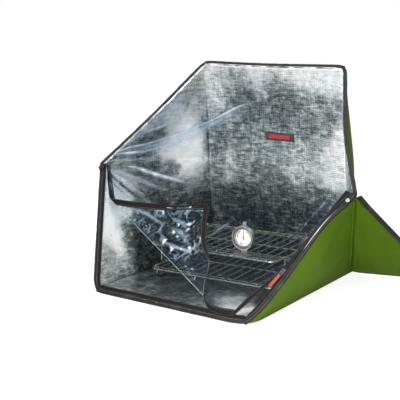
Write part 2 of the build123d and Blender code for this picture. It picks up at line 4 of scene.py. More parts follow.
import bmesh
import bpy
from bpy.props import FloatProperty, FloatVectorProperty, PointerProperty
from bpy.types import Operator, Panel, PropertyGroup
from mathutils import Matrix, Vector, noise
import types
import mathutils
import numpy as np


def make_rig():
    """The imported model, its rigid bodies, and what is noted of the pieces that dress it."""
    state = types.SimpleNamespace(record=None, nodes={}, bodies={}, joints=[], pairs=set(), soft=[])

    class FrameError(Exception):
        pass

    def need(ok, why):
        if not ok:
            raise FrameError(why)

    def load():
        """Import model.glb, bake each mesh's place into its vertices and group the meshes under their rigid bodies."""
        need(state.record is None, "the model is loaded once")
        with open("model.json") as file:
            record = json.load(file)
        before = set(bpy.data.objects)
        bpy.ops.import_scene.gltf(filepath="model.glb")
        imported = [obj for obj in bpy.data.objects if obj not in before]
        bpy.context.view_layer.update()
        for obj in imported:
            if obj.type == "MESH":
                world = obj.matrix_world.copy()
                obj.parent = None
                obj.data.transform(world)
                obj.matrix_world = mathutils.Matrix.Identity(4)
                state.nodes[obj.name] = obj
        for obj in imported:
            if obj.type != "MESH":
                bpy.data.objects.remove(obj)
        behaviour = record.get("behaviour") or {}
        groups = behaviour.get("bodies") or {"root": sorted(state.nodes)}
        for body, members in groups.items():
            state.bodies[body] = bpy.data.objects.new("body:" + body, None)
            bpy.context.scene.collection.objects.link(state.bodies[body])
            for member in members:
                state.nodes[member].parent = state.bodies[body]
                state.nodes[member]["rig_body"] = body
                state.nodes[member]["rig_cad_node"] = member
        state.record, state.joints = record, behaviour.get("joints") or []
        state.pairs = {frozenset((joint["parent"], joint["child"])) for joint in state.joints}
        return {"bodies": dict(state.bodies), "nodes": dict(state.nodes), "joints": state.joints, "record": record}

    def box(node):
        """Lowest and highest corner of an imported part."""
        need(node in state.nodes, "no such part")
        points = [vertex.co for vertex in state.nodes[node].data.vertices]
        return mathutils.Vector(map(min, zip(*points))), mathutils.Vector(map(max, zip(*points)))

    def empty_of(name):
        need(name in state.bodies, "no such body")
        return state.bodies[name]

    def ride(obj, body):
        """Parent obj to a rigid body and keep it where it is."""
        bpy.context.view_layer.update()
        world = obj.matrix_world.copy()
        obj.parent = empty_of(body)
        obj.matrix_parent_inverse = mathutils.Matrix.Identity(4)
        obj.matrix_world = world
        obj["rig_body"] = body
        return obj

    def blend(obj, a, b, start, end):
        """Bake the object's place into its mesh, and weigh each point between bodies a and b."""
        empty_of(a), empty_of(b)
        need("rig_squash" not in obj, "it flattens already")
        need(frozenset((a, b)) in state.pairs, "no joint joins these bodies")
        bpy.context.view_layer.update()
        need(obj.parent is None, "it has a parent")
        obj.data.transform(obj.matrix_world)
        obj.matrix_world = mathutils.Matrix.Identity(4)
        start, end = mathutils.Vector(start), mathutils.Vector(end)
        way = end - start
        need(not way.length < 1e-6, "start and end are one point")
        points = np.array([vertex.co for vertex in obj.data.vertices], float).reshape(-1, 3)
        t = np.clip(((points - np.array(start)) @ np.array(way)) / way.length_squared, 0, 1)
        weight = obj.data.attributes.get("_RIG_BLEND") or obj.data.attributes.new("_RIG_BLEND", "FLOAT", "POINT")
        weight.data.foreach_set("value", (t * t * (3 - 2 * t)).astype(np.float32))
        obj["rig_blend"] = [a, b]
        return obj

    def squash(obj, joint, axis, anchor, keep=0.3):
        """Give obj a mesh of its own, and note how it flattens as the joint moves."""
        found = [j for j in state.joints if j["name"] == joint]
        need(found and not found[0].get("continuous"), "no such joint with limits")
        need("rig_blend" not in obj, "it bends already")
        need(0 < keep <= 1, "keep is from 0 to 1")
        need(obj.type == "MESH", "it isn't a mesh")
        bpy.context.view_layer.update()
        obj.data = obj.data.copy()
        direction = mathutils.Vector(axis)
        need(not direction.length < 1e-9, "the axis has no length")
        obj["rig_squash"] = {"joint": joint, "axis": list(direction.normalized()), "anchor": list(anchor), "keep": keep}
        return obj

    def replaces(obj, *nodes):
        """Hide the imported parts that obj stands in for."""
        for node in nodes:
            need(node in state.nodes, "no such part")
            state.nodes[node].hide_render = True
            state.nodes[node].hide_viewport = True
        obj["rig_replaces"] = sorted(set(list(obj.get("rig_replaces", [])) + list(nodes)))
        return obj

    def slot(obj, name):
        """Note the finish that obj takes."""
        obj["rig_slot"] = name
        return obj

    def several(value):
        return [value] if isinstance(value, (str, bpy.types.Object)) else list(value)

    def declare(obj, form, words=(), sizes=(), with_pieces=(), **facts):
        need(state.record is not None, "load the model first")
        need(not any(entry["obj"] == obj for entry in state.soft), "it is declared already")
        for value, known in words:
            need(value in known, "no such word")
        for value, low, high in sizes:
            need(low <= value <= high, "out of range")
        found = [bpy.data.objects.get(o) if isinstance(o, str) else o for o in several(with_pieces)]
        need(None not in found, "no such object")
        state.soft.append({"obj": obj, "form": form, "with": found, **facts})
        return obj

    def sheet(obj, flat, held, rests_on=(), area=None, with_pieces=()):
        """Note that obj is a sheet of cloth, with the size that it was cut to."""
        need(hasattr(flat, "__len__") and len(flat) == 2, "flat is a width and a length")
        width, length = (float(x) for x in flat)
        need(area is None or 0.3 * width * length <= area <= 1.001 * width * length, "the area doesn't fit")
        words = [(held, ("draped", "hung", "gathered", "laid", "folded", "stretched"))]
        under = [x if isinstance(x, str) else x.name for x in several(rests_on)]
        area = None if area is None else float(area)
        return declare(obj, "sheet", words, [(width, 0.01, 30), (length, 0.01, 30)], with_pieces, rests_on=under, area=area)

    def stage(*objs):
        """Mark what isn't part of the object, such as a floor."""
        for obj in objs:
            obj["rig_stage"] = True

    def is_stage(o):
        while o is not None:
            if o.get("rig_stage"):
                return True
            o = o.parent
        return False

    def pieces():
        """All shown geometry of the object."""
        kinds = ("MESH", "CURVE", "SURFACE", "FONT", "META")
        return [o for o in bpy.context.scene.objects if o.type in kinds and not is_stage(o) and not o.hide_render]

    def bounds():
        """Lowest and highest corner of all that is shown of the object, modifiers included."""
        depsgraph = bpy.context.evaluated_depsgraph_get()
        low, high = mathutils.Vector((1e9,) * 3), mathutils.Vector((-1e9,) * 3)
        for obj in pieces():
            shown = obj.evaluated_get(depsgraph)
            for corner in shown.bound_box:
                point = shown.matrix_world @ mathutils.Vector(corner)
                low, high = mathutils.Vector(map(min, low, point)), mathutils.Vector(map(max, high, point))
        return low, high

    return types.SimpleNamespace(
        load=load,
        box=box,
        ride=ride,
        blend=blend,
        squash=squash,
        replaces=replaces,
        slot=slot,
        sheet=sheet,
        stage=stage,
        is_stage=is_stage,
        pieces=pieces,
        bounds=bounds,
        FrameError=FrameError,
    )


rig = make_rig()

bl_info = {
    "name": "Box Solar Cooker",
    "version": (1, 0, 0),
    "blender": (4, 5, 0),
    "location": "3D View > Sidebar > Cooker",
    "description": "Nylon, foil, film, binding, zipper, wire and dial for a sewn box solar cooker",
    "category": "Add Mesh",
}

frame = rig.load()
NODES = frame["nodes"]
LOADED_LOW, LOADED_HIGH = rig.bounds()
noise.seed_set(1)       # noise_vector would otherwise start from the clock and differ each run


def mm(*values):
    """A place or a shift given in millimetres."""
    return Vector(values) * 0.001


# ---- The shell's corners, as the panels are sewn together ----
FRONT_RIGHT = mm(190.5, -228.5, 0)
BACK_RIGHT = mm(190.5, 228.5, 0)
ELBOW_RIGHT = mm(318, -50.5, 239)
TOP_RIGHT = mm(183, 172.5, 467)


def mirrored(point):
    """The same point on the cooker's other side."""
    return Vector((-point.x, point.y, point.z))


FRONT_LEFT, BACK_LEFT, ELBOW_LEFT, TOP_LEFT = (
    mirrored(corner) for corner in (FRONT_RIGHT, BACK_RIGHT, ELBOW_RIGHT, TOP_RIGHT)
)
MIDDLE = mm(0, 0, 120)
RISE = hypot(0.178, 0.239)      # from the front edge up the lower facet to the elbows


def frame_matrix(origin, along, toward):
    """Matrix of a frame with X along one direction and Y near another."""
    x = Vector(along).normalized()
    z = x.cross(Vector(toward)).normalized()
    y = z.cross(x)
    matrix = Matrix((x, y, z)).transposed().to_4x4()
    matrix.translation = origin
    return matrix


LOWER = frame_matrix(mm(0, -228.5, 0), (1, 0, 0), (0, 178, 239))
UPPER = frame_matrix(mm(0, -50.5, 239), (1, 0, 0), (0, 223, 228))
CREASE_TOP, CREASE_FOOT = (-252, 216), (74.6, 40.05)


def on(matrix, across, up, height=0.0):
    """Point in a frame, given in millimetres."""
    return matrix @ mm(across, up, height)


def flap_matrix():
    """Frame of the folded corner: X down its crease, Y up off the lower facet's window."""
    crease = on(LOWER, *CREASE_FOOT) - on(LOWER, *CREASE_TOP)
    x = crease.normalized()
    normal = LOWER.to_3x3().col[2]
    up = normal.cross(x)
    lift = radians(8)
    away = up * cos(lift) + normal * sin(lift)
    return frame_matrix(on(LOWER, *CREASE_TOP, 2), x, away)


FLAP = flap_matrix()


def plane_out(a, b, c):
    """A point and the outward normal of a wall through three corners."""
    normal = (b - a).cross(c - a).normalized()
    return a, (normal if normal.dot(a - MIDDLE) > 0 else -normal)


WALL_CORNERS = {
    "floor": (FRONT_LEFT, FRONT_RIGHT, BACK_RIGHT, BACK_LEFT),
    "back": (BACK_LEFT, BACK_RIGHT, TOP_RIGHT, TOP_LEFT),
    "side_left": (FRONT_LEFT, ELBOW_LEFT, BACK_LEFT),
    "side_right": (FRONT_RIGHT, ELBOW_RIGHT, BACK_RIGHT),
    "wing_left": (BACK_LEFT, ELBOW_LEFT, TOP_LEFT),
    "wing_right": (BACK_RIGHT, ELBOW_RIGHT, TOP_RIGHT),
}
WALLS = {name: plane_out(*corners[:3]) for name, corners in WALL_CORNERS.items()}
LOWER_PLANE = (LOWER.translation, LOWER.to_3x3().col[2].copy())
UPPER_PLANE = (UPPER.translation, UPPER.to_3x3().col[2].copy())
RIM = {
    "front": ("floor", LOWER_PLANE, FRONT_LEFT, FRONT_RIGHT),
    "lower_left": ("side_left", LOWER_PLANE, FRONT_LEFT, ELBOW_LEFT),
    "lower_right": ("side_right", LOWER_PLANE, FRONT_RIGHT, ELBOW_RIGHT),
    "upper_left": ("wing_left", UPPER_PLANE, ELBOW_LEFT, TOP_LEFT),
    "top": ("back", UPPER_PLANE, TOP_LEFT, TOP_RIGHT),
    "upper_right": ("wing_right", UPPER_PLANE, ELBOW_RIGHT, TOP_RIGHT),
}

# ---- Folds of the clear film: routes on a facet, each knot with its width and strength, which sets the fold's height and its painted reflection (painted dark below 0) ----
UPPER_FOLDS = (
    ((-288, 40, 3, 1.0), (-262, 52, 3, 0.8), (-232, 61, 4, 0.55), (-171, 88, 5, 0.5),
     (-121, 117, 5, 0.6), (-87, 141, 4, 0.55), (-59, 164, 4, 0.9), (-34, 185, 4, 0.8),
     (-2, 205, 2, 0.2)),
    ((-296, 30, 3, 0.6), (-257, 36, 4, 0.95), (-222, 42, 4, 0.6), (-156, 66, 6, 0.4),
     (-110, 96, 6, 0.4), (-70, 125, 5, 0.35), (-45, 146, 4, 0.3), (-10, 184, 3, 0.1)),
    ((-282, 42, 5, 0.2), (-222, 52, 9, 0.28), (-150, 84, 14, 0.42), (-95, 119, 13, 0.5),
     (-50, 156, 10, 0.42), (-15, 190, 5, 0.15)),
    ((-279, 57, 3, 0.5), (-251, 96, 4, 0.4), (-213, 115, 4, 0.45), (-173, 135, 3, 0.2)),
    ((-290, 52, 10, 0.3), (-250, 115, 20, 0.36), (-206, 170, 22, 0.32), (-160, 220, 16, 0.12)),
    ((-304, 8, 3, 0.5), (-190, 26, 4, 0.3), (-90, 30, 4, 0.12)),
)
LOWER_FOLDS = (
    ((-300, 297, 3, 0.4), (-281, 306, 4, 0.7), (-215, 297, 4, 0.75), (-147, 286, 4, 1.0),
     (-122, 283, 4, 0.9), (-86, 279, 4, 0.7), (-66, 276, 3, 0.2)),
    ((-292, 284, 4, 0.6), (-220, 275, 5, 0.4), (-161, 262, 5, 0.4), (-118, 253, 3, 0.15)),
    ((-298, 288, 3, -0.7), (-270, 268, 3, -1.0), (-242, 255, 3, -1.0), (-206, 239, 3, -1.0),
     (-172, 224, 2, -0.8)),
    ((-284, 268, 3, -0.5), (-250, 247, 3, -0.7), (-222, 232, 3, -0.6)),
    ((-270, 258, 9, 0.3), (-235, 236, 9, 0.42), (-212, 226, 6, 0.25)),
    ((-44, 232, 5, -0.45), (-30, 262, 7, -0.3)),
    ((20, 145, 2, 0.15), (40, 169, 3, 0.4), (63, 192, 2, 0.45), (74, 204, 2, 0.1)),
    ((250, 236, 4, -0.3), (262, 262, 5, -0.35)),
)


def smooth(t):
    """Rises gently from 0 to 1 as t does."""
    t = min(1.0, max(0.0, t))
    return t * t * (3 - 2 * t)


def bell(distance, reach):
    """1 at no distance, falling gently to almost nothing by twice the reach."""
    return 2.718 ** -((distance / reach) ** 2)


def sides_of(ring):
    """Each side of a closed outline, as its two ends."""
    return zip(ring, ring[1:] + ring[:1])


def along_line(point, start, end):
    """Share of the way along a line, held to its ends, and the distance from it."""
    line = end - start
    t = min(1.0, max(0.0, (point - start).dot(line) / line.length_squared))
    return t, (point - (start + line * t)).length


# ---- How the sewn rim eases out of its straight lines, everywhere alike ----
# Each edge: its ends, its push, where along it the push peaks, and how far in that reaches
EASED_EDGES = (
    (ELBOW_RIGHT, TOP_RIGHT, mm(-10, 1, 0), 0.85, 0.040),
    (ELBOW_LEFT, TOP_LEFT, mm(4, 1, 0), 0.9, 0.080),
    (TOP_LEFT, TOP_RIGHT, mm(0, -1, -2), 0.9, 0.060),
)
# Each corner: where it is, its push, and how far round it that reaches
ROUNDED_CORNERS = (
    (FRONT_RIGHT, mm(-12, 7.5, 1.5), 0.052),
    (FRONT_LEFT, mm(7, 5, 0), 0.034),
    (TOP_RIGHT, mm(-4, 0, -4), 0.022),
    (TOP_LEFT, mm(3, 0, -3), 0.018),
)


def hump(point):
    """The lower right rim's hump below its elbow: highest at the binding, low at the zipper."""
    t, away = along_line(point, FRONT_RIGHT, ELBOW_RIGHT)
    if away > 0.15 or t == 0.0:
        return Vector((0, 0, 0))
    start, wall = WALLS["side_right"]
    inward = max(0.0, (start - point).dot(wall))
    below = max(0.0, (LOWER_PLANE[0] - point).dot(LOWER_PLANE[1]))
    along = sin(pi * min(1.0, t / 0.95) ** 2.4) ** 1.4
    share = along * bell(inward, 0.013) * bell(below, 0.05)
    return (LOWER_PLANE[1] * 0.0125 - wall * 0.0015) * share


def ease(point):
    """Where a point of the sewn shell lies once the cloth has relaxed."""
    shift = hump(point)
    for start, end, push, skew, reach in EASED_EDGES:
        t, away = along_line(point, start, end)
        if away < 2.5 * reach:
            shift += push * (sin(pi * t**skew) ** 1.5 * bell(away, reach))
    for corner, push, reach in ROUNDED_CORNERS:
        away = point - corner
        inward = push.normalized()
        away -= inward * min(0.0, away.dot(inward))
        if away.length < reach:
            shift += push * (1 - away.length / reach) ** 2
    moved = point + shift
    moved.z = max(moved.z, min(point.z, 0.0))
    return moved


# ---- Mesh helpers ----
def cut(bm, point, normal, keep_all=False):
    """Cuts a mesh at a plane and drops what lies beyond it, unless all is kept."""
    parts = bm.verts[:] + bm.edges[:] + bm.faces[:]
    bmesh.ops.bisect_plane(
        bm, geom=parts, dist=1e-6, plane_co=point, plane_no=normal, clear_outer=not keep_all
    )


def move(bm, rule):
    """Moves every vertex to where a rule puts it."""
    places = [rule(v) for v in bm.verts]
    for v, place in zip(bm.verts, places):
        v.co = place
    bm.normal_update()


def lay_cloth(bm, matrix):
    """A UV map in metres across one frame, for weaves that follow the cloth."""
    back = matrix.inverted()
    layer = bm.loops.layers.uv.new("Cloth")
    for face in bm.faces:
        for loop in face.loops:
            flat = back @ loop.vert.co
            loop[layer].uv = (flat.x, flat.y)


def piece(name, bm, material, body, slot, replaces=(), soft=True, eased=False):
    """A finished object from a mesh, shaded and painted, riding on its body if it has one."""
    if eased:
        move(bm, lambda v: ease(v.co))
    mesh = bpy.data.meshes.new(name)
    bm.to_mesh(mesh)
    bm.free()
    for polygon in mesh.polygons:
        polygon.use_smooth = soft
    mesh.materials.append(material)
    obj = bpy.data.objects.new(name, mesh)
    bpy.context.scene.collection.objects.link(obj)
    if body:
        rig.ride(obj, body)
    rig.slot(obj, slot)
    if replaces:
        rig.replaces(obj, *replaces)
    return obj


def thicken(obj, thickness):
    """Gives a sheet its thickness, behind its faces."""
    wall = obj.modifiers.new("Thickness", "SOLIDIFY")
    wall.thickness = thickness
    wall.offset = -1.0
    wall.use_even_offset = False
    return obj


def round_edges(obj, width, segments=2):
    """Rounds a piece's sharp edges."""
    bevel = obj.modifiers.new("Edges", "BEVEL")
    bevel.width = width
    bevel.segments = segments
    bevel.limit_method = "ANGLE"
    bevel.angle_limit = radians(35)
    bevel.harden_normals = False


def from_node(name):
    """The mesh of one CAD node as a bmesh, its loose triangles merged into flat faces."""
    bm = bmesh.new()
    bm.from_mesh(NODES[name].data)
    bmesh.ops.remove_doubles(bm, verts=bm.verts, dist=1e-6)
    bmesh.ops.dissolve_limit(
        bm, angle_limit=radians(1), use_dissolve_boundaries=False,
        verts=bm.verts, edges=bm.edges,
    )
    return bm


def ruled(bm, matrix, pitch_x, pitch_y=None):
    """Cuts a flat solid into a grid along a frame's X and Y."""
    back = matrix.inverted()
    for axis, pitch in ((0, pitch_x), (1, pitch_y)):
        if pitch is None:
            continue
        levels = [(back @ v.co)[axis] for v in bm.verts]
        normal = matrix.to_3x3().col[axis]
        level = min(levels) + pitch
        while level < max(levels) - pitch * 0.4:
            spot = Vector((0, 0, 0))
            spot[axis] = level
            cut(bm, matrix @ spot, normal, keep_all=True)
            level += pitch
    return bm


def smooth_line(points):
    """Points along the smooth line that a route's corners pull into shape."""
    data = bpy.data.curves.new("route", "CURVE")
    data.dimensions = "3D"
    spline = data.splines.new("NURBS")
    spline.points.add(len(points) - 1)
    for knot, place in zip(spline.points, points):
        knot.co = (*place, 1.0)
    spline.order_u = 3
    spline.use_endpoint_u = True
    spline.resolution_u = 8
    holder = bpy.data.objects.new("route", data)
    mesh = bpy.data.meshes.new_from_object(holder)
    line = [v.co.copy() for v in mesh.vertices]
    bpy.data.objects.remove(holder)
    bpy.data.curves.remove(data)
    bpy.data.meshes.remove(mesh)
    return line


def strides(line, step):
    """Even steps along a line: the run that each falls on, and its share of that run."""
    out, spare = [(0, 0.0)], 0.0
    for i, (start, end) in enumerate(zip(line, line[1:])):
        length = (end - start).length
        place = step - spare
        while place <= length:
            out.append((i, place / length))
            place += step
        spare = length - (place - step)
    return out


def blocks(bm, first, second, step, size, up, shift=0.0):
    """Small blocks at an even step along a line, each lying toward a second line."""
    for i, share in strides(first, step):
        spot, other = (line[i].lerp(line[i + 1], share) for line in (first, second))
        direction = (first[i + 1] - first[i]).normalized()
        rise = direction.cross(other - spot).normalized()
        if rise.dot(up) < 0:
            rise = -rise
        side = (other - spot).normalized()
        turn = Matrix((direction, rise.cross(direction), rise)).transposed().to_4x4()
        turn.translation = spot + side * shift
        bmesh.ops.create_cube(bm, size=1.0, matrix=turn @ Matrix.Diagonal((*size, 1)))


def strip(first, second, rows):
    """A sheet between two lines that have the same number of points."""
    bm = bmesh.new()
    columns = len(first) - 1
    bmesh.ops.create_grid(bm, x_segments=columns, y_segments=rows, size=1.0)

    def place(v):
        i = round((v.co.x + 1) / 2 * columns)
        return first[i].lerp(second[i], (v.co.y + 1) / 2)

    move(bm, place)
    return bm


def facing(bm, up):
    """Turns an open sheet's faces towards one side."""
    bm.normal_update()
    if sum(f.normal.dot(up) * f.calc_area() for f in bm.faces) < 0:
        bmesh.ops.reverse_faces(bm, faces=bm.faces)
    return bm


# ---- Finishes ----
class Finish:
    """A procedural material in the making: its shader, and the nodes that feed it."""

    def __init__(self, name, colour, roughness=0.5, metallic=0.0, uv=False, **sockets):
        self.material = bpy.data.materials.new(name)
        self.material.use_nodes = True
        self.tree = self.material.node_tree
        self.shader = self.tree.nodes["Principled BSDF"]
        self.shader.inputs["Base Color"].default_value = (*colour, 1)
        self.shader.inputs["Roughness"].default_value = roughness
        self.shader.inputs["Metallic"].default_value = metallic
        for socket, value in sockets.items():
            self.shader.inputs[socket.replace("_", " ")].default_value = value
        self.place = self.node("ShaderNodeTexCoord").outputs["UV" if uv else "Object"]

    def node(self, kind, **settings):
        """A new shader node with its settings."""
        made = self.tree.nodes.new(kind)
        for key, value in settings.items():
            setattr(made, key, value)
        return made

    def feed(self, source, target):
        """Links a socket to another one, or sets it to a plain value."""
        if isinstance(source, bpy.types.NodeSocket):
            self.tree.links.new(source, target)
        else:
            target.default_value = source

    def stretched(self, scale):
        """The place that textures read, scaled along each axis."""
        mapping = self.node("ShaderNodeMapping")
        mapping.inputs["Scale"].default_value = scale
        self.feed(self.place, mapping.inputs["Vector"])
        return mapping.outputs["Vector"]

    def grain(self, scale, detail=2.0, rough=0.5, stretch=None, warp=0.0):
        """Soft random variation from 0 to 1."""
        made = self.node("ShaderNodeTexNoise")
        made.inputs["Scale"].default_value = scale
        made.inputs["Detail"].default_value = detail
        made.inputs["Roughness"].default_value = rough
        made.inputs["Distortion"].default_value = warp
        self.feed(self.stretched(stretch) if stretch else self.place, made.inputs["Vector"])
        return made.outputs["Fac"]

    def cells(self, scale):
        """Distance from the nearest cell's middle."""
        made = self.node("ShaderNodeTexVoronoi")
        made.inputs["Scale"].default_value = scale
        self.feed(self.place, made.inputs["Vector"])
        return made.outputs["Distance"]

    def threads(self, pitch, direction, warp=0.0):
        """Even ridges, one for each thread."""
        made = self.node("ShaderNodeTexWave", bands_direction=direction)
        made.inputs["Scale"].default_value = 0.314 / pitch
        made.inputs["Distortion"].default_value = warp
        self.feed(self.place, made.inputs["Vector"])
        return made.outputs["Fac"]

    def edge_share(self, blend):
        """How edge-on a face is seen, for gloss and glass."""
        made = self.node("ShaderNodeLayerWeight")
        made.inputs["Blend"].default_value = blend
        return made.outputs["Fresnel"]

    def sums(self, operation, first, second=0.5, third=0.5):
        """The result of one sum, from sockets or plain values."""
        made = self.node("ShaderNodeMath", operation=operation)
        for socket, value in zip(made.inputs, (first, second, third)):
            self.feed(value, socket)
        return made.outputs["Value"]

    def between(self, source, low, high, start=0.0, end=1.0):
        """The source spread from one range to another, held at its ends."""
        made = self.node("ShaderNodeMapRange", clamp=True)
        for socket, value in zip(made.inputs, (source, start, end, low, high)):
            self.feed(value, socket)
        return made.outputs["Result"]

    def gather(self, base, *parts):
        """A base number with sources added round their middle value, each at its own weight."""
        total = self.sums("ADD", base, -0.5 * sum(weight for _, weight in parts))
        for source, weight in parts:
            total = self.sums("MULTIPLY_ADD", source, weight, total)
        return total

    def shade(self, source, *stops):
        """Colours at places from 0 to 1."""
        made = self.node("ShaderNodeValToRGB")
        ramp = made.color_ramp
        while len(ramp.elements) < len(stops):
            ramp.elements.new(0.5)
        for element, (place, colour) in zip(ramp.elements, stops):
            element.position = place
            element.color = (*colour, 1)
        self.feed(source, made.inputs["Fac"])
        return made.outputs["Color"]

    def blend(self, share, first, second, mode="MIX"):
        """Two colours mixed by a share from 0 to 1."""
        made = self.node("ShaderNodeMix", data_type="RGBA", blend_type=mode)
        for socket, value in ((0, share), (6, first), (7, second)):
            if isinstance(value, tuple):
                value = (*value, 1)
            self.feed(value, made.inputs[socket])
        return made.outputs[2]

    def attribute(self, name):
        """A number painted on the piece's vertices."""
        return self.node("ShaderNodeAttribute", attribute_name=name).outputs["Fac"]

    def colour(self, source):
        self.feed(source, self.shader.inputs["Base Color"])

    def rough(self, source):
        self.feed(source, self.shader.inputs["Roughness"])

    def relief(self, source, distance, strength=1.0, under=None):
        """A bump, on top of another one if that is given."""
        made = self.node("ShaderNodeBump")
        made.inputs["Distance"].default_value = distance
        made.inputs["Strength"].default_value = strength
        self.feed(source, made.inputs["Height"])
        if under is not None:
            self.feed(under, made.inputs["Normal"])
        self.feed(made.outputs["Normal"], self.shader.inputs["Normal"])
        return made.outputs["Normal"]


FINISHES = {}


def finish(maker, *settings):
    """A material, made once and shared by every piece that wears it."""
    key = (maker.__name__, *settings)
    if key not in FINISHES:
        FINISHES[key] = maker(*settings).material
    return FINISHES[key]


def nylon_cloth():
    """Lime packcloth: a plain weave with soft sheen and slight fading."""
    colour = tuple(bpy.context.scene.cooker_shell.cover_colour)
    made = Finish("Nylon Packcloth", colour, 0.7, uv=True, Specular_IOR_Level=0.05)
    soft = made.grain(9, 3, 0.55)
    fine = made.grain(260, 2, 0.6)
    deep = tuple(c * 0.88 for c in colour)
    pale = tuple(min(1, c * 1.1 + 0.002) for c in colour)
    tone = made.shade(soft, (0.32, deep), (0.5, colour), (0.7, pale))
    made.colour(made.blend(made.between(fine, 0.0, 0.3, 0.35, 0.75), tone, (0.03, 0.05, 0.002)))
    made.rough(made.between(fine, 0.6, 0.8))
    weave = made.sums("ADD", made.threads(0.0009, "X"), made.threads(0.0009, "Y"))
    made.relief(fine, 0.0006, 0.35, made.relief(weave, 0.00018, 0.6))
    return made


def foam_core():
    """Pale foam board with fine pores."""
    made = Finish("Foam Core", (0.72, 0.72, 0.68), 0.9)
    pores = made.cells(900)
    made.colour(made.shade(pores, (0.1, (0.5, 0.5, 0.46)), (0.6, (0.8, 0.8, 0.76))))
    made.relief(pores, 0.0004, 0.6)
    return made


def crinkled_foil():
    """Aluminised film bonded to a fine scrim: bright and creased, with painted reflections and painted shade in
    patches.
    """
    made = Finish("Crinkled Foil", (0.7, 0.7, 0.7), 0.3, 1.0, uv=True)
    blotches = made.grain(13, 2, 0.55, warp=0.4)
    creases = made.grain(46, 4, 0.68, warp=0.3)
    weft = made.grain(1, 4, 0.72, stretch=(44, 165, 1))
    warp = made.grain(1, 4, 0.72, stretch=(170, 40, 1))
    sparks = made.grain(430, 2, 0.7)
    scrim = made.sums("ADD", made.threads(0.0052, "X", 0.5), made.threads(0.0044, "Y", 0.5))
    # Painted light: the painted reflections and shade set the foil's tone and how metallic it is
    painted_light_share = made.attribute("shine")
    tone = made.gather(
        painted_light_share, (blotches, 0.35), (creases, 0.75), (weft, 1.10), (warp, 0.55), (sparks, 0.60),
        (scrim, 0.05),
    )
    silver = made.shade(
        tone,
        (0.04, (0.016, 0.019, 0.020)),
        (0.26, (0.095, 0.108, 0.108)),
        (0.46, (0.27, 0.295, 0.29)),
        (0.66, (0.62, 0.64, 0.64)),
        (0.94, (1.0, 1.0, 1.0)),
    )
    cool = made.between(made.grain(4.5, 2, 0.5), 0.0, 0.8, 0.42, 0.62)
    made.colour(made.blend(cool, silver, (0.86, 0.94, 1.0), "MULTIPLY"))
    made.feed(made.between(painted_light_share, 1.0, 0.4, 0.6, 1.0), made.shader.inputs["Metallic"])
    made.rough(made.between(creases, 0.26, 0.42, 0.3, 0.7))
    relief = made.relief(scrim, 0.0003, 0.5)
    made.relief(weft, 0.0009, 0.5, made.relief(creases, 0.0022, 0.6, relief))
    return made


def edge_binding():
    """Black woven tape with a fine grain, rubbed brown in places."""
    made = Finish("Woven Binding", (0.012, 0.012, 0.012), 0.62, Specular_IOR_Level=0.22)
    fine = made.grain(600, 2, 0.6)
    made.colour(made.shade(
        made.grain(34, 3),
        (0.3, (0.006, 0.006, 0.006)),
        (0.55, (0.014, 0.013, 0.012)),
        (0.75, (0.034, 0.030, 0.028)),
    ))
    made.rough(made.between(fine, 0.5, 0.75))
    made.relief(fine, 0.0006, 0.7)
    return made


def grained(made, grain, tones=(), rough=(), relief=()):
    """Lets one fine grain drive a finish's colour, gloss and relief."""
    fine = made.grain(*grain)
    if tones:
        made.colour(made.shade(fine, *tones))
    if rough:
        made.rough(made.between(fine, *rough))
    if relief:
        made.relief(fine, *relief)
    return made


def zipper_cloth():
    """Close black weave with hardly any gloss."""
    made = Finish("Zipper Tape", (0.009, 0.008, 0.008), 0.6, Specular_IOR_Level=0.09)
    tones = (0.3, (0.004, 0.004, 0.004)), (0.75, (0.018, 0.016, 0.015))
    return grained(made, (900, 2, 0.6), tones, relief=(0.0004, 0.6))


def moulded_teeth():
    """Dark nylon with a low gloss."""
    made = Finish("Zipper Coil", (0.022, 0.018, 0.026), 0.3, Specular_IOR_Level=0.5)
    return grained(made, (300, 2), rough=(0.24, 0.42))


def thread():
    """Dark thread, greyed along its strands."""
    made = Finish("Sewing Thread", (0.06, 0.058, 0.055), 0.7, Specular_IOR_Level=0.25)
    return grained(made, (2500, 1), ((0.3, (0.05, 0.048, 0.046)), (0.7, (0.16, 0.155, 0.15))))


def bright_wire():
    """Plated wire with an olive cast where the plating has dulled in the heat."""
    made = Finish("Plated Wire", (0.20, 0.22, 0.20), 0.42, 1.0)
    tones = (0.3, (0.10, 0.115, 0.10)), (0.62, (0.26, 0.28, 0.25))
    return grained(made, (120, 3, 0.6), tones, (0.34, 0.5), (0.0003, 0.4))


def brushed_steel(name, colour, low, high):
    """Steel whose roughness runs from low to high."""
    tones = (0.3, tuple(c * 0.8 for c in colour)), (0.7, colour)
    made = Finish(name, colour, low, 1.0)
    return grained(made, (220, 3, 0.6), tones, (low, high), (0.0002, 0.3))


def moulded(name, colour, roughness):
    """Moulded plastic or print, a little uneven in tone."""
    tones = (0.3, tuple(c * 0.78 for c in colour)), (0.7, colour)
    made = Finish(name, colour, roughness)
    return grained(made, (350, 3, 0.6), tones, relief=(0.0002, 0.35))


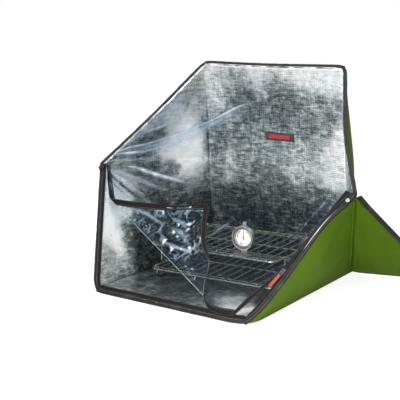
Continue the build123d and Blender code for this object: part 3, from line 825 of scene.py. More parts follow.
def clear_film():
    """Clear vinyl with painted sky-coloured reflections along its folds, and painted dark along a few others."""
    made = Finish("Clear Film", (0.80, 0.86, 0.92), 0.14, 0.7)
    # Painted light: above 0 a painted reflection along a fold, below 0 the film is painted dark
    gleam = made.attribute("gleam")
    ripple = made.grain(150, 3, 0.62, warp=0.6)
    dust = made.grain(240, 2, 0.7)
    made.relief(ripple, 0.0018, 0.35)
    made.colour(made.shade(
        made.between(gleam, 0.0, 1.0, -1.0, 1.0),
        (0.30, (0.007, 0.012, 0.022)),
        (0.46, (0.03, 0.055, 0.095)),
        (0.60, (0.24, 0.34, 0.46)),
        (0.76, (0.56, 0.66, 0.78)),
        (0.90, (0.96, 0.98, 1.0)),
    ))
    patchy = made.between(ripple, 0.64, 1.15, 0.36, 0.62)
    broken = made.sums("MULTIPLY", made.sums("ABSOLUTE", gleam), patchy)
    seen = made.sums("ADD", broken, made.between(dust, 0.015, 0.06, 0.4, 0.75))
    seen = made.sums("ADD", seen, made.sums("MULTIPLY", made.edge_share(0.10), 0.35))
    return see_through(made, made.sums("MINIMUM", seen, 0.97))


def see_through(made, share):
    """Lets a finish show only in part, by a share from 0 to 1."""
    through = made.node("ShaderNodeBsdfTransparent")
    mixer = made.node("ShaderNodeMixShader")
    made.feed(share, mixer.inputs["Fac"])
    made.feed(through.outputs["BSDF"], mixer.inputs[1])
    made.feed(made.shader.outputs["BSDF"], mixer.inputs[2])
    made.feed(mixer.outputs["Shader"], made.tree.nodes["Material Output"].inputs["Surface"])
    return made


def woven_web(name, colour):
    """A heavy weave with bold ribs both ways."""
    made = Finish(name, colour, 0.66, uv=True, Sheen_Weight=0.3)
    rib = made.sums("MULTIPLY", made.threads(0.0022, "X", 1.0), made.threads(0.0014, "Y"))
    deep, pale = (tuple(c * share for c in colour) for share in (0.5, 1.6))
    made.colour(made.shade(rib, (0.05, deep), (0.8, pale)))
    made.relief(rib, 0.0006, 0.8)
    return made


def snap_cap():
    """Plated snap caps: the right one bright, the left one coloured near black."""
    made = Finish("Snap Metal", (0.5, 0.5, 0.5), 0.24, 1.0)
    fine = made.grain(220, 3, 0.6)
    apart = made.node("ShaderNodeSeparateXYZ")
    made.feed(made.place, apart.inputs["Vector"])
    # 1 for the cap on the right and 0 for the one on the left, which is coloured near black
    right_cap_share = made.between(apart.outputs["X"], 0.0, 1.0, -0.01, 0.01)
    bright = made.shade(fine, (0.3, (0.42, 0.42, 0.42)), (0.7, (0.62, 0.62, 0.62)))
    made.colour(made.blend(right_cap_share, (0.02, 0.02, 0.021), bright))
    made.rough(made.between(fine, 0.2, 0.36))
    return made


def dial_enamel():
    """White enamel, faintly toasted by the heat."""
    made = Finish("Dial Enamel", (0.96, 0.96, 0.95), 0.35)
    toasted, clean = (0.3, (0.93, 0.92, 0.90)), (0.6, (0.98, 0.98, 0.97))
    made.colour(made.shade(made.grain(60, 2), toasted, clean))
    made.relief(made.grain(300, 2), 0.0001, 0.2)
    return made


def lens_glass():
    """Clear glass that shows only at its edge and in a faint smear."""
    made = Finish("Lens Glass", (0.95, 0.97, 0.97), 0.03)
    smear = made.between(made.grain(90, 2), 0.01, 0.04)
    glint = made.sums("MULTIPLY", made.edge_share(0.2), 0.3)
    return see_through(made, made.sums("ADD", glint, smear))


# ---- Sizes and colours that a user would change ----
class CookerShell(PropertyGroup):
    bulge: FloatProperty(
        name="Panel Bulge", description="How far the middle of each side panel swells outwards",
        default=0.007, min=0.0, max=0.009, unit="LENGTH",
    )
    foil_relief: FloatProperty(
        name="Foil Relief", description="Height of the dents and creases in the foil lining",
        default=0.0017, min=0.0, max=0.003, unit="LENGTH",
    )
    cover_colour: FloatVectorProperty(
        name="Cover Colour", description="Colour of the nylon cover",
        default=(0.130, 0.235, 0.012), subtype="COLOR", min=0.0, max=1.0,
    )
    stitch_pitch: FloatProperty(
        name="Stitch Pitch", description="Distance from one stitch to the next",
        default=0.0034, min=0.002, max=0.01, unit="LENGTH",
    )


class CookerWindow(PropertyGroup):
    fold_height: FloatProperty(
        name="Fold Height", description="How far the film's folds stand up",
        default=0.0026, min=0.0, max=0.005, unit="LENGTH",
    )
    film_thickness: FloatProperty(
        name="Film Thickness", description="Thickness of the clear film",
        default=0.0003, min=0.0001, max=0.001, unit="LENGTH",
    )
    tooth_pitch: FloatProperty(
        name="Tooth Pitch", description="Distance from one zipper tooth to the next",
        default=0.0018, min=0.001, max=0.005, unit="LENGTH",
    )
    tab_colour: FloatVectorProperty(
        name="Pull Tab Colour", description="Colour of the zipper's pull tab",
        default=(0.30, 0.040, 0.028), subtype="COLOR", min=0.0, max=1.0,
    )


class CookerStage(PropertyGroup):
    key_power: FloatProperty(
        name="Key Light", description="Power of the main soft light",
        default=59.0, min=0.0, subtype="POWER",
    )
    fill_power: FloatProperty(
        name="Fill Light", description="Power of the soft light from the right",
        default=0.9, min=0.0, subtype="POWER",
    )
    floor_colour: FloatVectorProperty(
        name="Floor Colour", description="Colour of the studio floor",
        default=(0.55, 0.55, 0.55), subtype="COLOR", min=0.0, max=1.0,
    )


# ---- Walls: cover, core and lining share one shape between them ----
CORE_DEPTH, LINING_DEPTH = 0.0016, 0.008    # from the cover's outer face to each sheet


def wall_limits(name, depth):
    """The planes that trim a wall's sheet at a depth: its neighbours and both facets."""
    others = [
        (point - normal * depth, normal)
        for key, (point, normal) in WALLS.items() if key != name
    ]
    return others + [LOWER_PLANE, UPPER_PLANE]


def wall_frame(name, inward=False):
    """Frame in a wall's plane at its middle, Z out of the cooker or into it."""
    normal = WALLS[name][1]
    corners = WALL_CORNERS[name]
    level = Vector((1, 0, 0)) if name == "floor" else Vector((0, 0, 1)).cross(normal)
    face = -normal if inward else normal
    return frame_matrix(sum(corners, Vector()) / len(corners), level, face.cross(level))


def wall_sheet(name, depth, pitch, inward):
    """A flat grid in one wall's plane at a depth, trimmed by its neighbours."""
    matrix = wall_frame(name, inward)
    reach = max((corner - matrix.translation).length for corner in WALL_CORNERS[name]) + 0.01
    matrix.translation = matrix.translation - WALLS[name][1] * depth
    bm = bmesh.new()
    steps = ceil(2 * reach / pitch)
    bmesh.ops.create_grid(bm, x_segments=steps, y_segments=steps, size=reach, matrix=matrix)
    for point, normal in wall_limits(name, depth):
        cut(bm, point, normal)
    lay_cloth(bm, matrix)
    return bm


def edge_distance(name, point, depth):
    """Least distance from a point of a wall's sheet to the planes that trim it."""
    return min((start - point).dot(normal) for start, normal in wall_limits(name, depth))


def swell(name, point, edge):
    """Outward bulge and soft waves of one wall, none at its seams."""
    if name == "floor":
        return 0.0
    shell = bpy.context.scene.cooker_shell
    wave = noise.noise(point * 11 + Vector((3, 1, 7))) * 0.0022
    return shell.bulge * smooth(edge / 0.10) + wave * smooth(edge / 0.04)


def pucker(point, edge):
    """Fine gathers where the thread pulls a seam in."""
    if edge > 0.02:
        return 0.0
    ripple = noise.noise(point * 95) * 0.0007
    return ripple * (1 - edge / 0.02) - 0.0009 * (1 - smooth(edge / 0.005))


def dents(name, point, edge):
    """How far the foil's creases stand into the cooker."""
    relief = bpy.context.scene.cooker_shell.foil_relief
    broad = noise.noise(point * 22)
    fold = 1 - abs(noise.noise(point * 48 + Vector((9, 2, 4)))) * 3.2
    fine = noise.fractal(point * 95, 0.7, 2.1, 3)
    height = relief * (0.6 * broad + 0.36 * fold + 0.2 * fine)
    if name == "floor":
        height = -abs(height)
    return height * smooth(edge / 0.012)


# Painted reflections and painted shade on the lining: place, reach in millimetres and brightness
PAINTED_LIGHT_PATCHES = (
    ((-211, 132, 271), 38, 1.75), ((-218, 112, 312), 34, 1.1), ((-206, 146, 232), 34, 1.0),
    ((-236, 92, 262), 24, 0.85), ((-262, 40, 262), 38, 0.34), ((-240, 72, 290), 18, 0.34),
    ((-226, 112, 222), 16, 0.34), ((-250, 60, 320), 34, 0.55), ((-200, 137, 379), 40, 0.68),
    ((-150, 168, 438), 34, 0.72), ((-122, 169, 432), 18, 0.52), ((-154, 175, 378), 30, 0.66),
    ((-118, 186, 284), 50, 0.34), ((-156, 187, 286), 30, 0.24), ((-164, 193, 236), 26, 0.36),
    ((-84, 175, 382), 40, 0.35), ((-136, 194, 215), 40, 0.52), ((-27, 167, 446), 30, 0.88),
    ((60, 167, 447), 34, 0.86), ((110, 167, 447), 34, 0.84), ((172, 167, 449), 50, 1.0),
    ((171, 176, 380), 34, 0.4), ((23, 176, 370), 60, 0.33), ((90, 178, 350), 50, 0.4),
    ((176, 186, 288), 40, 0.86), ((156, 195, 220), 34, 0.92), ((-39, 190, 240), 50, 0.42),
    ((60, 192, 230), 45, 0.62), ((117, 201, 160), 34, 0.3), ((30, 203, 140), 50, 0.22),
    ((-110, 203, 130), 50, 0.2), ((150, 215, 60), 60, 0.14), ((20, 212, 60), 60, 0.08),
    ((-100, 213, 60), 60, 0.08), ((-264, -54, 150), 42, 1.0), ((-246, -95, 106), 40, 1.25),
    ((-232, -120, 78), 34, 1.1), ((-205, -165, 34), 44, 0.72), ((-213, -138, 62), 26, 0.36),
    ((-221, -68, 75), 22, 0.1), ((-232, -36, 95), 26, 0.05), ((-210, -26, 50), 44, 0.02),
    ((-234, 4, 95), 40, 0.1), ((-205, 60, 40), 60, 0.14), ((-262, -20, 178), 26, 0.8),
    ((-89, -132, 8), 60, 0.4), ((4, -152, 8), 60, 0.38), ((-150, -190, 8), 50, 0.4),
    ((85, -120, 8), 38, 1.15), ((140, -90, 8), 40, 0.24), ((60, -40, 8), 80, 0.22),
    ((150, -200, 8), 40, 1.2), ((-60, 60, 8), 140, 0.1),
)


def shine(point):
    """How bright the painted reflections and painted shade make the lining at a point, from 0 to 1, with ragged edges
    to its patches.
    """
    drift = noise.noise_vector(point * 24) * 0.016 + noise.noise_vector(point * 75) * 0.006
    spot = point + drift
    total, weight = 0.6 * 0.12, 0.12        # what plain foil shows between the patches
    for place, reach, bright in PAINTED_LIGHT_PATCHES:
        away = (spot - mm(*place)).length / (reach * 0.001)
        if away < 2.6:
            share = bell(away, 1)
            total += share * bright
            weight += share
    return total / weight


def paint(obj, name, values):
    """Keeps one number for every vertex, which the piece's finish reads."""
    obj.data.attributes.new(name, "FLOAT", "POINT").data.foreach_set("value", values)


def lay_walls(kind, node, slot, maker, depth, pitch, thickness, outward, inward=False):
    """One layer of every wall; outward tells how far out of its plane each point stands."""
    made = []
    for name, (_, normal) in WALLS.items():
        def relaxed(v):
            return v.co + normal * outward(name, v.co, edge_distance(name, v.co, depth))

        bm = wall_sheet(name, depth, pitch, inward)
        move(bm, relaxed)
        obj = piece(
            f"{kind}_{name}", bm, finish(maker), "shell", slot, [f"{node}_{name}"], eased=True,
        )
        made.append(thicken(obj, thickness))
    return made


class COOKER_OT_covers(Operator):
    """Sew the nylon cover, one panel for each wall"""

    bl_idname = "cooker.covers"
    bl_label = "Nylon Covers"

    def execute(self, context):
        def outward(name, point, edge):
            gathers = 0.0 if name == "floor" else pucker(point, edge)
            return swell(name, point, edge) + gathers

        lay_walls("nylon", "cover", "nylon_cover", nylon_cloth, 0.0, 0.008, 0.001, outward)
        return {"FINISHED"}


class COOKER_OT_cores(Operator):
    """Lay the insulating foam between cover and lining"""

    bl_idname = "cooker.cores"
    bl_label = "Foam Cores"

    def execute(self, context):
        lay_walls("foam", "core", "insulating_core", foam_core, CORE_DEPTH, 0.02, 0.0048, swell)
        return {"FINISHED"}


class COOKER_OT_lining(Operator):
    """Line the inside with crinkled foil"""

    bl_idname = "cooker.lining"
    bl_label = "Foil Lining"

    def execute(self, context):
        def outward(name, point, edge):
            return swell(name, point, edge) - dents(name, point, edge)

        for obj in lay_walls(
            "foil", "lining", "foil_lining", crinkled_foil, LINING_DEPTH, 0.0045, 0.0008,
            outward, inward=True,
        ):
            # Painted light on the lining: bright painted reflections and dark painted shade, kept on each vertex
            paint(obj, "shine", [shine(v.co) for v in obj.data.vertices])
        return {"FINISHED"}


# ---- Seams: a welt of nylon where two panels of the cover meet ----
WELT_DEPTH, WELT_STEP = 0.0012, 0.012       # how far inside the edge it lies, and its even step


def tube(line, radius):
    """A round cord along a line, closed at its ends."""
    bm = bmesh.new()
    columns, sides = len(line) - 1, 8
    bmesh.ops.create_grid(bm, x_segments=columns, y_segments=sides, size=1.0)
    run = (line[-1] - line[0]).normalized()
    across = run.orthogonal().normalized()
    other = run.cross(across)

    def place(v):
        i = round((v.co.x + 1) / 2 * columns)
        turn = (v.co.y + 1) * pi
        return line[i] + (across * cos(turn) + other * sin(turn)) * radius

    move(bm, place)
    bmesh.ops.remove_doubles(bm, verts=bm.verts, dist=1e-6)
    bmesh.ops.holes_fill(bm, edges=[e for e in bm.edges if e.is_boundary], sides=0)
    bmesh.ops.recalc_face_normals(bm, faces=bm.faces)
    return bm


def seam_line(first, second, walls):
    """A line along two panels' shared edge, a little inside both."""
    shift = sum((WALLS[wall][1] for wall in walls), Vector()) * -WELT_DEPTH
    runs = ceil((second - first).length / WELT_STEP)
    return [first.lerp(second, i / runs) + shift for i in range(runs + 1)]


SEAMS = {
    "floor_right": (FRONT_RIGHT, BACK_RIGHT, ("floor", "side_right")),
    "floor_left": (FRONT_LEFT, BACK_LEFT, ("floor", "side_left")),
    "floor_back": (BACK_LEFT, BACK_RIGHT, ("floor", "back")),
    "back_right": (BACK_RIGHT, TOP_RIGHT, ("back", "wing_right")),
    "back_left": (BACK_LEFT, TOP_LEFT, ("back", "wing_left")),
    "fold_right": (BACK_RIGHT, ELBOW_RIGHT, ("side_right", "wing_right")),
    "fold_left": (BACK_LEFT, ELBOW_LEFT, ("side_left", "wing_left")),
}


class COOKER_OT_seams(Operator):
    """Run a nylon welt along every seam of the cover, with a pleat beside each ear"""

    bl_idname = "cooker.seams"
    bl_label = "Seam Welts"

    def execute(self, context):
        cloth = finish(nylon_cloth)
        for name, (first, second, walls) in SEAMS.items():
            bm = tube(seam_line(first, second, walls), 0.0026)
            lay_cloth(bm, wall_frame(walls[1]))
            piece(f"welt_{name}", bm, cloth, "shell", "nylon_cover", eased=True)
        for side, wall in (("right", "side_right"), ("left", "side_left")):
            first, second, _ = SEAMS[f"fold_{side}"]
            forward = mm(0, -13, 0)
            foot = first.lerp(second, 0.015) + forward
            head = first.lerp(second, 0.93) + forward
            line = [foot.lerp(head, i / 30) + WALLS[wall][1] * 0.0012 for i in range(31)]
            bm = tube(line, 0.0016)
            lay_cloth(bm, wall_frame(wall))
            piece(f"pleat_{side}", bm, cloth, "shell", "nylon_cover", eased=True)
        return {"FINISHED"}


# ---- Rim: tape folded over the raw edge, and the zipper's fixed half ----
RIM_PITCH = 0.005       # from one cut across a rim tape to the next
RIM_OVERRUN = 0.03      # how far a rim tape is run on before its mitres trim it
MITRE_GAP = 0.004       # between a mitre and the first stitch or tooth


def rim_place(place, across, over):
    """Offset from a rim edge's line: across in from its wall, over up from its facet."""
    wall, facet, _, _ = RIM[place]
    n1, n2 = WALLS[wall][1], facet[1]
    dot = n1.dot(n2)
    first = (-across - dot * over) / (1 - dot * dot)
    second = (over + dot * across) / (1 - dot * dot)
    return n1 * first + n2 * second


def rim_mitres(place):
    """Planes that end a rim edge: halfway to each neighbour, keeping the edge's own side."""
    wall, facet, start, end = RIM[place]
    own = WALLS[wall][1]
    planes = []
    for other, (other_wall, other_facet, a, b) in RIM.items():
        if other == place or not ({tuple(start), tuple(end)} & {tuple(a), tuple(b)}):
            continue
        shared = start if tuple(start) in (tuple(a), tuple(b)) else end
        if other_facet is facet:
            across = (WALLS[other_wall][1] - own).normalized()
        else:
            across = (other_facet[1] - facet[1]).normalized()
        inside = (start + end) / 2 - shared
        planes.append((shared, -across if across.dot(inside) > 0 else across))
    return planes


def rim_bar(place, profile):
    """A closed profile run along one rim edge, cut to meet its neighbours."""
    _, _, start, end = RIM[place]
    line = (end - start).normalized()
    length = (end - start).length + 2 * RIM_OVERRUN
    steps = ceil(length / RIM_PITCH)
    stride = line * length / steps
    foot = start - line * RIM_OVERRUN
    bm = bmesh.new()
    first = [bm.verts.new(foot + rim_place(place, a * 0.001, b * 0.001)) for a, b in profile]
    edges = [bm.edges.new(pair) for pair in sides_of(first)]
    for _ in range(steps):
        made = bmesh.ops.extrude_edge_only(bm, edges=edges)["geom"]
        verts = [part for part in made if isinstance(part, bmesh.types.BMVert)]
        bmesh.ops.translate(bm, vec=stride, verts=verts)
        edges = [part for part in made if isinstance(part, bmesh.types.BMEdge)]
    for point, normal in rim_mitres(place):
        cut(bm, point, normal)
    bmesh.ops.recalc_face_normals(bm, faces=bm.faces)
    return bm


# Profiles of the tapes, in millimetres: in from the wall, and up from the facet
TAPE_OUTSIDE = (-0.2, -6.5), (-1.2, -6.2), (-1.6, -3.0), (-1.7, 0.4), (-1.1, 2.2)
TAPE_INSIDE = (0.0, 0.0), (-0.1, -3.0)
FOLDED_TAPE = (
    *TAPE_OUTSIDE, (0.8, 3.1), (4.5, 3.2), (7.8, 2.9), (9.1, 2.2), (9.3, 1.1), (8.6, 0.1),
    (4.0, 0.0), *TAPE_INSIDE,
)
UPPER_TAPE = (
    *TAPE_OUTSIDE, (0.6, 3.1), (3.0, 3.2), (5.2, 2.9), (6.3, 2.2), (6.5, 1.1), (5.9, 0.1),
    (3.0, 0.0), *TAPE_INSIDE,
)
FRONT_TAPE = (
    (0.1, -0.1), (0.05, 1.6), (0.5, 2.7), (2.0, 3.2), (4.5, 3.1), (7.8, 2.9),
    (9.1, 2.2), (9.3, 1.1), (8.6, 0.1), (4.0, 0.0),
)
ZIPPER_TAPE = (7.2, 0.1), (7.2, 0.9), (11, 1.15), (13.2, 0.95), (13.3, 0.1)


def lumpy(scale, height):
    """A rule for move that roughens a surface in and out."""
    def rule(v):
        step = noise.noise(v.co * scale) * height
        return v.co + v.normal * step
    return rule


def edge_line(place, across, over):
    """A straight line along a rim edge, trimmed at its mitres, for stitches and teeth."""
    _, _, start, end = RIM[place]
    shift = rim_place(place, across * 0.001, over * 0.001)
    near, far = start + shift, end + shift
    ends = []
    for spot, other in ((near, far), (far, near)):
        direction = (other - spot).normalized()
        best = 0.0
        for point, normal in rim_mitres(place):
            gap = (point - spot).dot(normal)
            if gap < 0 and direction.dot(normal) < 0:
                best = max(best, gap / direction.dot(normal))
        ends.append(spot + direction * (best + MITRE_GAP))
    return ends


def stitches(name, lines, body="shell"):
    """Rows of thread, one short stitch after another; each line lies toward a second one."""
    pitch = bpy.context.scene.cooker_shell.stitch_pitch
    bm = bmesh.new()
    for first, second, up in lines:
        blocks(bm, first, second, pitch, (pitch * 0.72, 0.0007, 0.0005), up)
    piece(name, bm, finish(thread), body, "black_binding", soft=False, eased=body == "shell")


class COOKER_OT_binding(Operator):
    """Bind the six rim edges with folded tape and two rows of stitches"""

    bl_idname = "cooker.binding"
    bl_label = "Edge Binding"

    def execute(self, context):
        rows = []
        for place, (_, facet, _, _) in RIM.items():
            profile, inset = (UPPER_TAPE, 5.0) if facet is UPPER_PLANE else (FOLDED_TAPE, 7.0)
            bm = rim_bar(place, FRONT_TAPE if place == "front" else profile)
            bm.normal_update()
            move(bm, lumpy(70, 0.0005))
            piece(
                f"tape_{place}", bm, finish(edge_binding), "shell", "black_binding",
                [f"binding_{place}"], eased=True,
            )
            inner, outer = edge_line(place, inset, 3.0), edge_line(place, 1.2, 3.1)
            rows += [(inner, outer, facet[1]), (outer, inner, facet[1])]
        stitches("binding_stitches", rows)
        return {"FINISHED"}


class COOKER_OT_zipper(Operator):
    """Lay the zipper's fixed tape and its row of teeth inside the binding"""

    bl_idname = "cooker.zipper"
    bl_label = "Zipper Frame"

    def execute(self, context):
        tapes, teeth = bmesh.new(), bmesh.new()
        pitch = context.scene.cooker_window.tooth_pitch
        size = (pitch * 0.55, 0.0019, 0.0018)
        for place in ("lower_left", "front", "lower_right"):
            bar = rim_bar(place, ZIPPER_TAPE)
            mesh = bpy.data.meshes.new("bar")
            bar.to_mesh(mesh)
            bar.free()
            tapes.from_mesh(mesh)
            bpy.data.meshes.remove(mesh)
            line, toward = edge_line(place, 13.7, 1.0), edge_line(place, 5.0, 1.0)
            blocks(teeth, line, toward, pitch, size, LOWER_PLANE[1])
        piece("zipper_rim_tape", tapes, finish(zipper_cloth), "shell", "zipper_tape",
              ["zipper_frame_tape"], eased=True)
        obj = piece("zipper_rim_teeth", teeth, finish(moulded_teeth), "shell", "zipper_teeth",
                    ["zipper_frame_teeth"], soft=False, eased=True)
        round_edges(obj, 0.0003, 1)
        return {"FINISHED"}


# ---- Window: film, and the free half of the zipper round it ----
ELBOW_ROW, SLIDER_ROW = 299.75, 222.74      # across the facet, where the free half runs
TAPE_WIDTH = 0.0138                         # from the teeth's outer edge to the sewn edge
# Shares of the way across it: where the tape leaves the teeth, the film's edge, the stitches
TAPE_START, FILM_EDGE, STITCH_ROW = 0.13, 0.45, 0.86
FILM_REST = 0.0012                          # height of the film's edge where nothing lifts it
CARRY_REACH = 0.022                         # how far out the sewn edge lifts the film
# Each knot of the free half: its place, and the height of its toothed and of its sewn edge
LEFT_KNOTS = ((-306, 300, -7, 1), (-281, 257, -4.5, 1), (-239.4, 194.4, 1, 1))
FOOT_KNOTS = (
    (74.6, 40.05, 1, 12), (78, 32, 1, 12), (85, 23.5, 1.4, 12.6), (97, 15.5, 2.4, 12.5),
    (112, 11, 4, 12), (128, 9.5, 4.5, 9), (146, 10.5, 4.6, 6), (156, 12.5, 4.4, 3.5),
)
RIGHT_KNOTS = (
    (156, 12.5, 4.4, 3.5), (178, 50, 2, -2), (SLIDER_ROW, 118, 1, -7), (262, 209.6, 1, -8),
    (ELBOW_ROW + 4, 300, 1, -5),
)
FLAP_KNOTS = (
    (-26, -13, 1.2, 1.2), (20, 9, 1.2, 1.2), (60, 29, 1.2, 1.4), (104, 54, 1.2, 1.8),
    (142, 75, 1.2, 4.5), (170, 90, 1.2, 8.5), (194, 108, 1.2, 9), (212, 124, 1.4, 6),
    (236, 141, 1.8, 2.6), (246, 131, 1.8, 1.6), (258, 114, 1.6, 1.4), (274, 97, 1.6, 1.2),
    (292, 81, 4, 1.2), (314, 71, 9, 1.2), (332, 62, 11.8, 1.2), (343, 52, 12.4, 1.2),
    (351, 39, 12.4, 1.2), (357, 27, 12.4, 1.2), (364, 16, 12.4, 1.2), (373, 6, 12.4, 1.2),
    (381, -2, 12.4, 1.2), (392, -8, 12.4, 1.2),
)
# Folds of the folded corner, as above: width and strength, which sets the painted reflection
FLAP_FOLDS = (
    ((112, 50, 4, 0.4), (124, 55, 5, 0.9), (138, 57, 4, 0.6), (150, 66, 4, 0.95),
     (158, 60, 4, 0.7)),
    ((140, 70, 3, 0.5), (152, 74, 4, 0.9), (168, 82, 3, 0.4)),
    ((222, 78, 3, 0.6), (230, 82, 4, 1.0)),
    ((186, 66, 4, 0.3), (214, 74, 5, 0.45), (236, 70, 4, 0.2)),
    ((196, 50, 4, 0.2), (226, 58, 5, 0.45), (262, 52, 4, 0.25)),
    ((193, 15, 3, 0.2), (236, 27, 4, 0.5), (275, 42, 3, 0.62)),
    ((259, 10, 3, 0.2), (270, 40, 4, 0.45), (281, 60, 3, 0.2)),
    ((60, 14, 4, 0.2), (116, 34, 5, 0.45), (170, 42, 4, 0.3)),
    ((96, 40, 7, 0.35), (128, 60, 8, 0.5), (150, 72, 5, 0.3)),
    ((206, 104, 4, 0.5), (214, 88, 3, 0.3)),
)
# How the corner crumples as it closes: tilt of the crumple's axis, and the share of it kept
CRUMPLE_LEAN = radians(30)
CRUMPLE_KEEP = 0.74


def rails(knots, toward, smoothed=True):
    """The toothed and the sewn edge of a zipper half; toward is 1 for a sewn edge on the left."""
    lines = []
    for height in (2, 3):
        corners = [mm(knot[0], knot[1], knot[height]) for knot in knots]
        lines.append(smooth_line(corners) if smoothed else corners)
    toothed, raised = lines
    sewn = []
    for i, (point, high) in enumerate(zip(toothed, raised)):
        before, after = (a - b if a != b else None for a, b in (
            (point, toothed[max(i - 1, 0)]), (toothed[min(i + 1, len(toothed) - 1)], point)))
        runs = [Vector((run.x, run.y, 0)).normalized() for run in (before, after) if run]
        middle = (runs[0] + runs[-1]).normalized()
        left = Vector((-middle.y, middle.x, 0))
        mitre = max(0.5, left.dot(Vector((-runs[0].y, runs[0].x, 0))))
        reach = max(0.003, (TAPE_WIDTH**2 - (high.z - point.z) ** 2) ** 0.5) / mitre
        sewn.append(Vector((point.x, point.y, 0)) + left * reach * toward + Vector((0, 0, high.z)))
    return toothed, sewn


def joined(first, second):
    """Two pairs of rails, the second going on where the first ends."""
    return tuple(a + b[1:] for a, b in zip(first, second))


LEFT_RAILS = rails(LEFT_KNOTS, 1, False)
FLAP_RAILS = rails(FLAP_KNOTS, -1)
WINDOW_RAILS = joined(rails(FOOT_KNOTS, 1), rails(RIGHT_KNOTS, 1, False))


def zipper_half(side, pair, matrix, body, nodes, creased=True):
    """The tape and the teeth of one stretch of the free half; a creased one ends at the crease."""
    toothed, sewn = ([matrix @ point for point in line] for line in pair)
    up = matrix.to_3x3().col[2]
    pitch = bpy.context.scene.cooker_window.tooth_pitch
    near = [a.lerp(b, TAPE_START) for a, b in zip(toothed, sewn)]
    tape = facing(strip(near, sewn, 5), up)
    teeth = bmesh.new()
    blocks(teeth, toothed, sewn, pitch, (pitch * 0.55, 0.0017, 0.0018), up, 0.0008)
    if creased:
        for bm in (tape, teeth):
            cut(bm, FLAP.translation, -FLAP.to_3x3().col[1])
    move(tape, lumpy(60, 0.0005))
    eased = body == "shell"
    obj = piece(f"{side}_tape_strip", tape, finish(zipper_cloth), body, "zipper_tape",
                nodes[:1], eased=eased)
    thicken(obj, 0.0008)
    piece(f"{side}_teeth_row", teeth, finish(moulded_teeth), body, "zipper_teeth", nodes[1:],
          soft=False, eased=eased)
    row = [a.lerp(b, STITCH_ROW) + up * 0.0004 for a, b in zip(toothed, sewn)]
    stitches(f"{side}_stitches", [(row, toothed, up)], body)


def fold_share(flat, folds):
    """Height of the film's folds and their painted gleam, at a point in millimetres."""
    height, gleam = 0.0, 0.0
    for knots in folds:
        for start, end in zip(knots, knots[1:]):
            a, b = Vector((start[0], start[1], 0)), Vector((end[0], end[1], 0))
            t, away = along_line(flat, a, b)
            width = start[2] + (end[2] - start[2]) * t
            if away < 2.6 * width:
                strength = (start[3] + (end[3] - start[3]) * t) * bell(away, width)
                height = max(height, abs(strength))
                gleam = strength if abs(strength) > abs(gleam) else gleam
    return height, gleam


def inside(ring, spot):
    """Whether a point lies inside a closed flat outline."""
    hits = 0
    for a, b in sides_of(ring):
        spans = (a.y > spot.y) != (b.y > spot.y)
        if spans and spot.x < a.x + (b.x - a.x) * (spot.y - a.y) / (b.y - a.y):
            hits += 1
    return hits % 2 == 1


def film_patch(ring, pitch):
    """A flat sheet inside a closed outline, on a grid fine enough to crumple."""
    reach = max(max(abs(p.x), abs(p.y)) for p in ring) + pitch
    steps = ceil(reach / pitch)
    bm = bmesh.new()
    bmesh.ops.create_grid(bm, x_segments=2 * steps, y_segments=2 * steps, size=steps * pitch)
    for a, b in sides_of(ring):
        run = b - a
        cut(bm, a, Vector((run.y, -run.x, 0)).normalized(), keep_all=True)
    outside = [f for f in bm.faces if not inside(ring, f.calc_center_median())]
    bmesh.ops.delete(bm, geom=outside, context="FACES")
    return bm


def edge_gap(ring, spot):
    """Distance from a point to the nearest side of a closed outline."""
    return min(along_line(spot, a, b)[1] for a, b in sides_of(ring))


def crossing(line):
    """Where a line on the folded corner runs back over the crease."""
    for a, b in zip(line, line[1:]):
        if a.y >= 0 > b.y:
            return a.lerp(b, a.y / (a.y - b.y))
    raise ValueError("the line never comes back to the crease")


def carried(pair, spot):
    """How far the zipper's sewn edge holds the film up at a point beside it."""
    best, height = CARRY_REACH, FILM_REST
    for a, b in zip(pair[1], pair[1][1:]):
        low_a, low_b = Vector((a.x, a.y, 0)), Vector((b.x, b.y, 0))
        t, away = along_line(spot, low_a, low_b)
        if away < best:
            best, height = away, a.z + (b.z - a.z) * t
    return (height - FILM_REST) * smooth(1 - best / CARRY_REACH)


def film_piece(name, bm, rule, body, nodes):
    """Crumples a flat sheet of film by a rule that gives each vertex its place and painted gleam."""
    places = [rule(v.co.copy()) for v in bm.verts]
    for v, (place, _) in zip(bm.verts, places):
        v.co = place
    bm.normal_update()
    obj = piece(name, bm, finish(clear_film), body, "clear_film", nodes, eased=body == "shell")
    paint(obj, "gleam", [gleam for _, gleam in places])
    return thicken(obj, bpy.context.scene.cooker_window.film_thickness)


def flat_area(ring):
    """Area inside a closed flat outline, in square metres."""
    return abs(sum(a.x * b.y - b.x * a.y for a, b in sides_of(ring))) / 2


def window_ring():
    """The film's outline laid flat: the lower facet below the elbows' line, the upper above."""
    row = Vector((0, -RISE, 0))
    middles = [
        [Vector((*(a.lerp(b, FILM_EDGE) + row).xy, 0)) for a, b in zip(*rails(knots, 1, False))]
        for knots in (LEFT_KNOTS, FOOT_KNOTS, RIGHT_KNOTS)
    ]
    left, foot, right = middles
    left[-1] = mm(*CREASE_TOP, 0) + row
    foot[0] = mm(*CREASE_FOOT, 0) + row
    upper = [mm(312, 0, 0), mm(179.4, 313.4, 0), mm(-179.4, 313.4, 0), mm(-312, 0, 0)]
    return left + foot + right[1:] + upper


